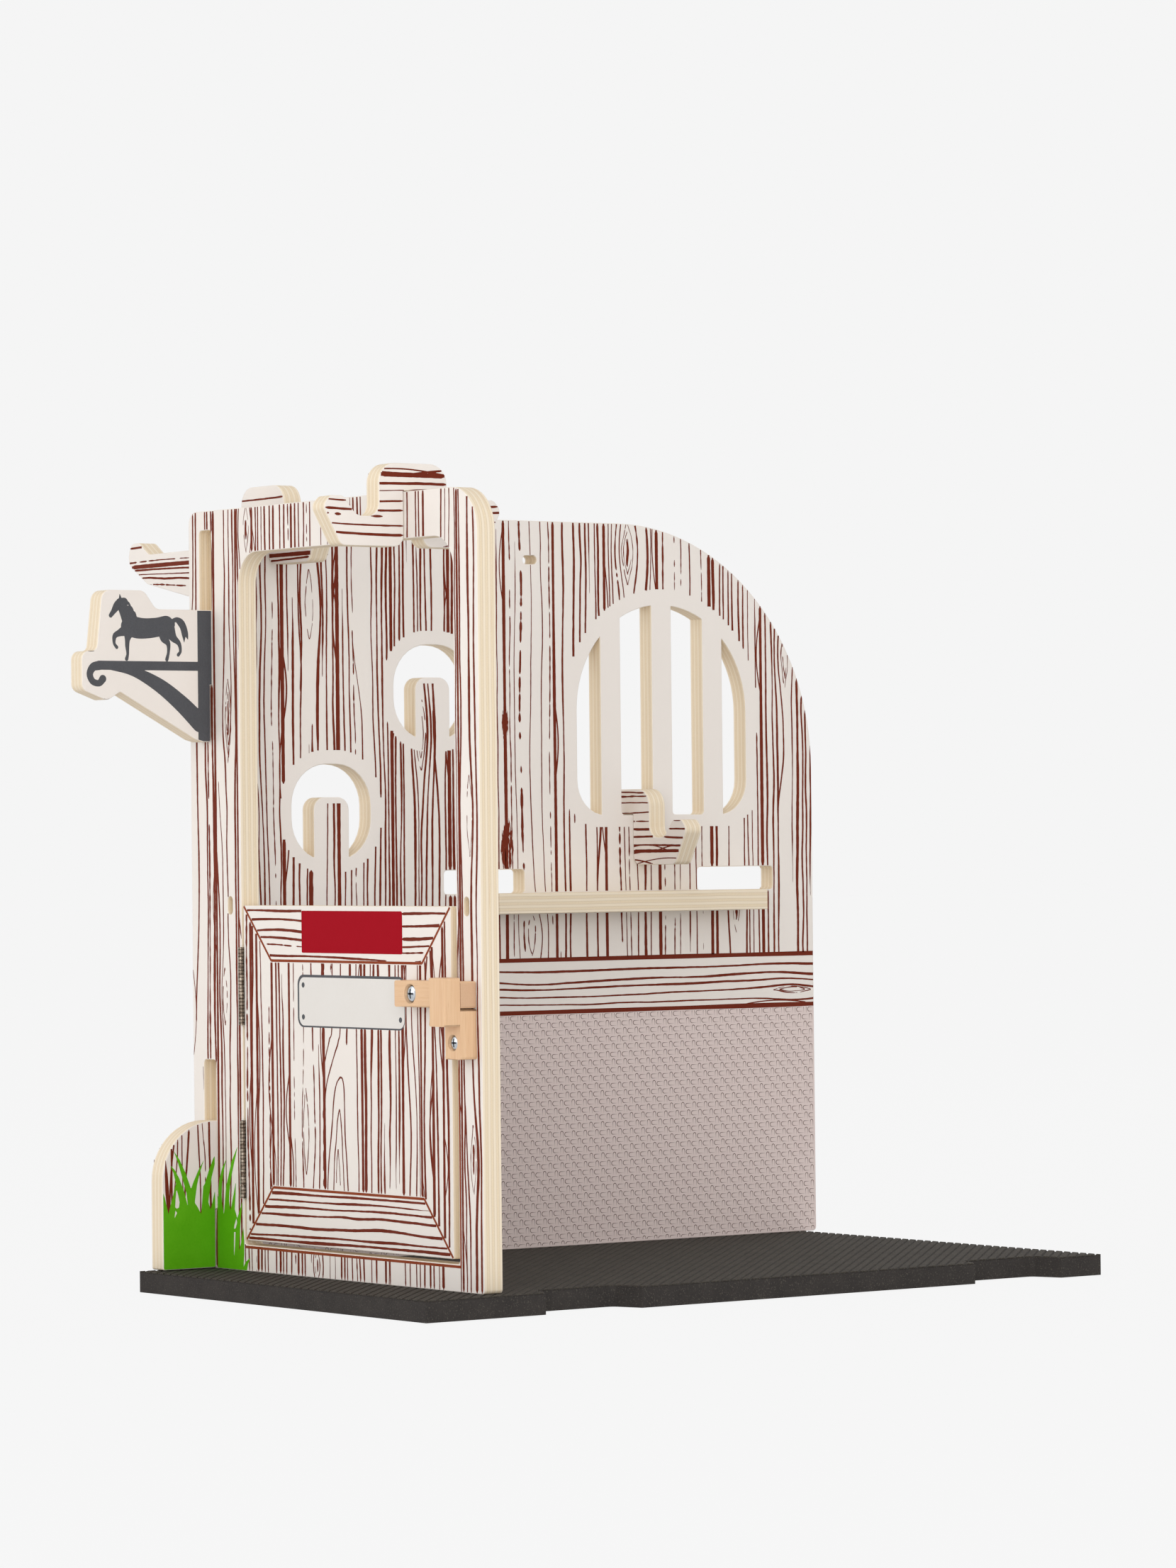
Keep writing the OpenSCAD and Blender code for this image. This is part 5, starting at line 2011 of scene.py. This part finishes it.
@dataclass
class FrontPanel:
    """The front panel: upright grain, a line round the foot of the doorway, and grass."""

    board: Board

    def build(self) -> None:
        """Makes the board and everything printed on it."""
        self.board.build()
        ink = self.board.finishes.grain_ink
        for face, far in ((self.board.near(), False), (self.board.far(), True)):
            outline = self.board.outline(face)
            soft = outside(in_box(-10.2, -1, 0.2, 362), 0.2) if far else in_box(-60, 0.2, 300, 362)
            grain = Grain(
                outline.depth,
                soft,
                (
                    (-19.5, Plank.CLOSE),
                    (2.2, Plank.CLOSE),
                    (21.6, Plank.MIXED),
                    (36.0, Plank.CLOSE),
                    (70.0, Plank.MIXED),
                    (106.0, Plank.CLOSE),
                    (142.0, Plank.MIXED),
                    (178.0, Plank.CLOSE),
                    (204.0, Plank.CLOSE),
                ),
                220.0,
                (0, 361.5),
                seed=29 if far else 3,
                joint=1.6,
                pitch=1.05,
                weight=1.1,
                knots=(
                    Knot(14.0, 262.0, 3.0, 24.0, 2),
                    Knot(212.5, 60.0, 2.6, 20.0, 1),
                    Knot(212.0, 214.0, 2.6, 24.0, 1, False),
                    Knot(31.0, 351.0, 2.8, 14.0, 1),
                    Knot(9.0, 130.0, 2.4, 18.0, 1, False),
                    Knot(86.0, 6.0, 2.6, 9.0, 1),
                ),
            )
            lines = grain.lay()
            name = f"panel_grain_{'rear' if far else 'front'}"
            self.board.printer.lines(name, lines, face, ink, "frame")
        self._doorway_line()
        self._grass()

    def _doorway_line(self) -> None:
        """Prints the line that borders the foot of the doorway."""
        path = [(25.0, 11.4), (60.0, 11.4), (130.0, 11.4), (201.9, 11.4), (201.9, 60.0), (201.9, 104.0)]
        points = np.array([(a, b) for a, b in path])
        lines = [(points[:4], np.full(4, 0.62)), (points[3:], np.full(3, 0.4))]
        self.board.printer.lines(
            "doorway_line", lines, self.board.near(), self.board.finishes.frame_ink, "frame", 0.06
        )

    def _grass(self) -> None:
        """Prints grass on the panel beside the foot."""
        face = self.board.near()
        outline = self.board.outline(face)
        tuft = in_polygon([(-2.0, 36.0), *PANEL_GRASS, (26.0, -3.0), (-2.0, -3.0)])
        gaps = any_of(in_polygon(PANEL_GAPS[0]), in_polygon(PANEL_GAPS[1]))
        shape = all_of(tuft, outside(gaps), in_box(0.4, 0.1, 40, 70), lambda a, b: outline.depth(a, b) - 0.3)
        self.board.printer.shape(
            "panel_grass", shape, (0, 0, 31, 62), 0.3, face, self.board.finishes.grass_ink, "frame", 0.06
        )


@dataclass
class Door:
    """The half door: mitred rails drawn in line, plank grain, a red plate and a name plate."""

    board: Board
    rail_in: tuple[float, float, float, float] = (49.2, 40.6, 173.6, 147.2)
    edge: tuple[float, float, float, float] = (25.6, 14.6, 196.4, 173.0)
    red: tuple[float, float, float, float] = (75.3, 151.1, 158.1, 170.7)
    plate: tuple[float, float, float, float] = (72.9, 117.2, 159.3, 139.7)

    def build(self) -> None:
        """Makes the door and everything printed on it."""
        self.board.build()
        for face, far in ((self.board.near(), False), (self.board.far(), True)):
            self._print(face, far)

    def _rails(self) -> tuple[Depth, Depth]:
        """The two lying rails.

        Returns:
            Depth inside the top rail and inside the bottom rail.
        """
        left, low, right, high = self.edge
        in_left, in_low, in_right, in_high = self.rail_in
        top = in_polygon([(in_left, in_high), (in_right, in_high), (right, high), (left, high)])
        bottom = in_polygon([(left, low), (right, low), (in_right, in_low), (in_left, in_low)])
        return top, bottom

    def _print(self, face: Face, far: bool) -> None:
        """Prints one face of the door.

        Args:
            face: The face.
            far: Whether it is the face indoors.
        """
        printer, finishes = self.board.printer, self.board.finishes
        outline = self.board.outline(face)
        place = "indoors" if far else "front"
        top, bottom = self._rails()
        plates = any_of(in_box(*self.red), in_box(*self.plate, 4.0)) if not far else in_box(-1, -1, -0.5, -0.5)
        stiles = Grain(
            outline.depth,
            all_of(outside(top, 0.9), outside(bottom, 0.9), outside(plates)),
            (
                (25.7, Plank.CLOSE),
                (31.6, Plank.CLOSE),
                (36.4, Plank.OPEN),
                (49.4, Plank.MIXED),
                (64.0, Plank.OPEN),
                (92.9, Plank.CLOSE),
                (124.4, Plank.CLOSE),
                (157.4, Plank.OPEN),
                (172.2, Plank.MIXED),
                (181.4, Plank.CLOSE),
                (189.6, Plank.CLOSE),
            ),
            196.4,
            (14.6, 173.0),
            seed=52 if far else 11,
            pitch=1.12,
            joint=1.9,
            weight=1.42,
            flames=(Flame(107.0, 93.9),),
            knots=(Knot(77.5, 68.0, 2.8, 26.0, 1, False),),
            blots=(Blot(92.9, 144.0, 5.0, 2.6), Blot(99.8, 145.0, 4.0, 2.0)),
        )
        lines = stiles.lay()
        for rail, seed, span in ((top, 13, (145.8, 173.0)), (bottom, 19, (14.6, 40.0))):
            lying = Grain(
                outline.depth,
                all_of(lambda a, b, rail=rail: rail(a, b) - 0.8, outside(plates)),
                ((span[0], Plank.LYING),),
                span[1],
                (25.6, 196.4),
                seed=seed + (60 if far else 0),
                lying=True,
                joint=0.1,
                pitch=1.22,
                weight=1.15,
            )
            lines += lying.lay()
        printer.lines(f"door_grain_{place}", lines, face, finishes.grain_ink, "door_leaf")
        self._frame_lines(face, place)
        if far:
            return
        left, low, right, high = self.plate
        printer.shape("door_red_plate", in_box(*self.red, 0.4), (74, 150, 160, 172), 0.8, face, finishes.red_ink, "door_leaf", 0.06)
        rim = in_box(left - 1.3, low - 0.75, right + 0.3, high + 1.2, 4.6)
        printer.shape("name_plate_rim", rim, (left - 2, low - 2, right + 2, high + 2), 0.45, face, finishes.slate_ink, "door_leaf", 0.07)
        inner = in_box(*self.plate, 4.0)
        printer.shape("name_plate", inner, (left - 1, low - 1, right + 1, high + 1), 0.45, face, finishes.plate_paint, "door_leaf", 0.08)
        dots = [in_disc(a, b, 1.25) for a in (left + 3.4, right - 3.2) for b in (low + 4.0, high - 3.6)]
        printer.shape("name_plate_rivets", any_of(*dots), (left, low, right, high), 0.3, face, finishes.slate_ink, "door_leaf", 0.11)

    def _frame_lines(self, face: Face, place: str) -> None:
        """Prints the lines where the rails meet the stiles and the panel.

        Args:
            face: The face.
            place: The face's name.
        """
        left, low, right, high = self.edge
        in_left, in_low, in_right, in_high = self.rail_in
        paths = [
            [(left + 0.5, high - 0.4), (in_left, in_high), (in_right, in_high), (right - 0.5, high - 0.4)],
            [(left + 0.5, low + 0.5), (in_left, in_low), (in_right, in_low), (right - 0.5, low + 0.5)],
        ]
        lines = []
        for path in paths:
            for a, b in zip(path, path[1:]):
                share = np.linspace(0, 1, 12)[:, None]
                points = np.array(a) + (np.array(b) - np.array(a)) * share
                lines.append((points, np.full(12, 0.6)))
        self.board.printer.lines(
            f"door_frame_lines_{place}", lines, face, self.board.finishes.frame_ink, "door_leaf", 0.065
        )


@dataclass
class HookBoard:
    """A loose hook board with lying grain on both faces."""

    board: Board
    seed: int
    joints: Sequence[float] = ()

    def build(self) -> None:
        """Makes the board and its grain."""
        self.board.build()
        for face, far in ((self.board.near(), False), (self.board.far(), True)):
            outline = self.board.outline(face)
            low, high = outline.segments[:, [1, 3]].min(), outline.segments[:, [1, 3]].max()
            left, right = outline.segments[:, [0, 2]].min(), outline.segments[:, [0, 2]].max()
            starts = [low, *(low + (high - low) * share for share in self.joints)]
            grain = Grain(
                outline.depth,
                in_box(left - 5, low - 5, right + 5, high + 5),
                [(start, Plank.LYING) for start in starts],
                high,
                (left, right),
                seed=self.seed + (100 if far else 0),
                lying=True,
                pitch=1.15,
                weight=0.9,
            )
            name = f"{self.board.node}_grain_{'far' if far else 'near'}"
            self.board.printer.lines(name, grain.lay(), face, self.board.finishes.grain_ink, self.board.body)


@dataclass
class FloorMat:
    """The foam mat: a body with its top lowered by a rib's height, and diagonal ribs on it."""

    nodes: dict[str, bpy.types.Object]
    trees: Trees
    finishes: Finishes
    pitch: float = 4.14
    rib: float = 0.55
    foot: float = 3.9
    top: float = 2.9

    def _copy(self, name: str, low: float | None, high: float | None) -> bpy.types.Object:
        """Copies the mat with its underside or top moved.

        Args:
            name: The copy's name.
            low: New height of the underside, in metres, or None.
            high: New height of the top, in metres, or None.

        Returns:
            The copy.
        """
        mesh = bmesh.new()
        mesh.from_mesh(self.nodes["floor_mat"].data)
        bmesh.ops.remove_doubles(mesh, verts=mesh.verts, dist=1e-6)
        bmesh.ops.dissolve_limit(mesh, angle_limit=math.radians(0.5), verts=mesh.verts, edges=mesh.edges)
        for vertex in mesh.verts:
            if low is not None and vertex.co.z < 0.005:
                vertex.co.z = low
            elif high is not None and vertex.co.z > 0.005:
                vertex.co.z = high
        data = bpy.data.meshes.new(name)
        mesh.to_mesh(data)
        mesh.free()
        data.materials.clear()
        data.materials.append(self.finishes.foam)
        return link_object(name, data)

    def build(self) -> None:
        """Makes the mat's body and its ribs."""
        top = CORNER[2]
        body = self._copy("mat_body", None, top - self.rib * MM)
        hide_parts("floor_mat")
        dressed(body, "frame", "foam")
        slab = self._copy("mat_slab", top - (self.rib + 0.15) * MM, top)
        low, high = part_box("floor_mat")
        reach = (high.x - low.x + high.y - low.y) / 2 ** 0.5 / 2 + 0.01
        along, across = Vector((-1, 1, 0)).normalized(), Vector((1, 1, 0)).normalized()
        centre = (low + high) / 2
        centre.z = top - (self.rib + 0.3) / 2 * MM
        count = int(reach / (self.pitch * MM))
        points, edges = [], []
        for number in range(-count, count + 1):
            middle = centre + across * (number * self.pitch * MM)
            edges.append((len(points), len(points) + 1))
            points += [middle - along * reach, middle + along * reach]
        mesh = bpy.data.meshes.new("mat_ribs")
        mesh.from_pydata([tuple(p) for p in points], edges, [])
        ribs = link_object("mat_ribs", mesh)
        values = {
            "Foot Width": self.foot * MM,
            "Top Width": self.top * MM,
            "Height": (self.rib + 0.3) * MM,
            "Slab": slab,
            "Foam": self.finishes.foam_ribs,
        }
        baked(ribs, self.trees.ribs, values)
        bpy.data.objects.remove(slab)
        dressed(ribs, "frame", "foam")


@dataclass
class Fittings:
    """The shelf rail, beech latch, hinges and screws."""

    nodes: dict[str, bpy.types.Object]
    finishes: Finishes

    def build(self) -> None:
        """Dresses each fitting."""
        effects = self.finishes.effects
        shelf = eased_copy(self.nodes["shelf"], "shelf_rail", 0.4, 2, self.finishes.shelf)
        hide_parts("shelf")
        dressed(shelf, "frame", "bare_ply")
        bar_low, bar_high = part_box("latch_bar")
        bar_finish = Beech("Beech bar", (1.0, 0.0, 0.0), (bar_low.x + 0.0002, bar_high.x - 0.0002), effects)
        bar = eased_copy(self.nodes["latch_bar"], "latch_bar_beech", 0.7, 3, bar_finish.build(), holes=False)
        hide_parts("latch_bar")
        dressed(bar, "latch", "beech")
        low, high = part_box("latch_keeper")
        keeper_finish = Beech("Beech keeper", (0.0, 0.0, 1.0), (low.z + 0.0002, high.z - 0.0002), effects)
        keeper = eased_copy(
            self.nodes["latch_keeper"], "latch_keeper_beech", 0.7, 3, keeper_finish.build(), holes=False
        )
        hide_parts("latch_keeper")
        dressed(keeper, "frame", "beech")
        for name, node in self.nodes.items():
            finish = None
            if "leaf" in name and "screw" not in name or "pin" in name:
                finish = self.finishes.nickel
            elif "leaf" in name:
                finish = self.finishes.zinc
            elif "screw" in name:
                finish = self.finishes.screw
            elif name == "shelf_dowels":
                finish = self.finishes.dowel
            if finish is not None:
                node.data.materials.clear()
                node.data.materials.append(finish)
                LOG.info("%s: CAD node with %s", name, finish.name)


@dataclass
class Studio:
    """Camera, lamps, floor and background."""

    back: Color = linear(245, 245, 245)

    def build(self) -> None:
        """Makes the stage."""
        self._camera()
        self._world()
        self._floor()
        self._lamp("Key lamp", (1.5, -1.5, 1.9), 2.2, 15.0)
        self._lamp("Low lamp", (1.7, -1.5, 0.25), 1.3, 18.0)
        self._lamp("Fill lamp", (-0.9, -1.9, 0.9), 1.4, 9.0)
        self._lamp("Side lamp", (2.2, 0.5, 0.8), 1.4, 4.5)
        self._lamp("Rear lamp", (-0.6, 1.9, 1.4), 1.6, 6.0)
        scene = bpy.context.scene
        scene.view_settings.view_transform = "Standard"

    def _camera(self) -> None:
        """Sets the camera where the photograph was taken from."""
        yaw, pitch, roll = 0.9347, 0.0103, -0.0106
        ahead = Vector((-math.sin(yaw) * math.cos(pitch), math.cos(yaw) * math.cos(pitch), math.sin(pitch)))
        level = Vector((math.cos(yaw), math.sin(yaw), 0))
        upright = level.cross(ahead)
        right = level * math.cos(roll) + upright * math.sin(roll)
        up = upright * math.cos(roll) - level * math.sin(roll)
        data = bpy.data.cameras.new("Camera")
        data.lens, data.sensor_width, data.sensor_fit = 129.54, 36.0, "AUTO"
        data.clip_start, data.clip_end = 0.05, 50
        camera = bpy.data.objects.new("Camera", data)
        camera.matrix_world = Matrix.Translation((2.16437, -1.61682, 0.21129)) @ Matrix(
            (right, up, -ahead)
        ).transposed().to_4x4()
        bpy.context.scene.collection.objects.link(camera)
        bpy.context.scene.camera = camera

    def _shown(self, graph: Graph) -> bpy.types.NodeSocket:
        """Whether a ray comes from the camera, a reflection or glass.

        Args:
            graph: The graph that needs it.

        Returns:
            1 for such a ray, else 0.
        """
        path = graph.add("ShaderNodeLightPath").outputs
        first = graph.math("MAXIMUM", path["Is Camera Ray"], path["Is Glossy Ray"])
        return graph.math("MAXIMUM", first, path["Is Transmission Ray"])

    def _world(self) -> None:
        """Makes even light all round and the pale background."""
        world = bpy.data.worlds.new("Studio")
        world.use_nodes = True
        world.node_tree.nodes.clear()
        graph = Graph(world.node_tree)
        lit = graph.add("ShaderNodeBackground", {"Color": (1.0, 0.99, 0.98, 1.0), "Strength": 0.61})
        seen = graph.add("ShaderNodeBackground", {"Color": (*self.back, 1.0), "Strength": 1.0})
        mixed = graph.add("ShaderNodeMixShader", {0: self._shown(graph), 1: lit.outputs[0], 2: seen.outputs[0]})
        graph.add("ShaderNodeOutputWorld", {"Surface": mixed.outputs[0]})
        bpy.context.scene.world = world

    def _floor(self) -> None:
        """Lays the plain pale floor."""
        mesh = bpy.data.meshes.new("floor")
        size = 14.0
        mesh.from_pydata([(-size, -size, 0), (size, -size, 0), (size, size, 0), (-size, size, 0)], [], [(0, 1, 2, 3)])
        material = bpy.data.materials.new("Pale floor")
        material.use_nodes = True
        material.node_tree.nodes.clear()
        graph = Graph(material.node_tree)
        plain = graph.add("ShaderNodeBsdfDiffuse", {"Color": (0.8, 0.8, 0.8, 1.0)})
        glow = graph.add("ShaderNodeEmission", {"Color": (*self.back, 1.0), "Strength": 1.015})
        share = graph.math("MULTIPLY", self._shown(graph), 0.97)
        mixed = graph.add("ShaderNodeMixShader", {0: share, 1: plain.outputs[0], 2: glow.outputs[0]})
        graph.add("ShaderNodeOutputMaterial", {"Surface": mixed.outputs[0]})
        mesh.materials.append(material)
        floor = link_object("floor", mesh)
        floor.location.z = -0.0005

    def _lamp(self, name: str, place: tuple[float, float, float], size: float, power: float) -> None:
        """Hangs a soft lamp that looks at the stable.

        Args:
            name: The lamp's name.
            place: Where it hangs, in metres.
            size: Side of its square, in metres.
            power: Its power in watts.
        """
        data = bpy.data.lights.new(name, "AREA")
        data.size, data.energy = size, power
        lamp = bpy.data.objects.new(name, data)
        lamp.location = place
        aim = Vector((0.0, 0.0, 0.18)) - Vector(place)
        lamp.rotation_euler = aim.to_track_quat("-Z", "Y").to_euler()
        bpy.context.scene.collection.objects.link(lamp)


def main() -> None:
    """Builds the stable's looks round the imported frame."""
    logging.basicConfig(level=logging.INFO, format="%(message)s")
    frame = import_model()
    nodes: dict[str, bpy.types.Object] = frame["nodes"]
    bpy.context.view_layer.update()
    Studio().build()
    finishes, trees = Finishes(), Trees()
    printer = Printer(trees, finishes)

    def board(node: str, body: str, across_x: bool, middle: float, **more: Any) -> Board:
        """Makes the board that stands for a node."""
        return Board(node, body, across_x, middle, finishes, printer, nodes, **more)

    FloorMat(nodes, trees, finishes).build()
    FrontPanel(board("front_panel", "frame", False, 5.0)).build()
    SideWall(board("side_wall", "frame", True, -5.0, base_top=116.8)).build()
    Door(board("door", "door_leaf", False, 5.0)).build()
    HookBoard(board("bar_hook", "bar_hook", True, 158.0), 71, (0.86,)).build()
    HookBoard(board("saddle_rack", "saddle_rack", False, 38.0), 73, (0.45,)).build()
    HookBoard(board("window_hook", "window_hook", False, 255.45), 77, (0.18,)).build()
    Fittings(nodes, finishes).build()


if __name__ == "__main__":
    main()
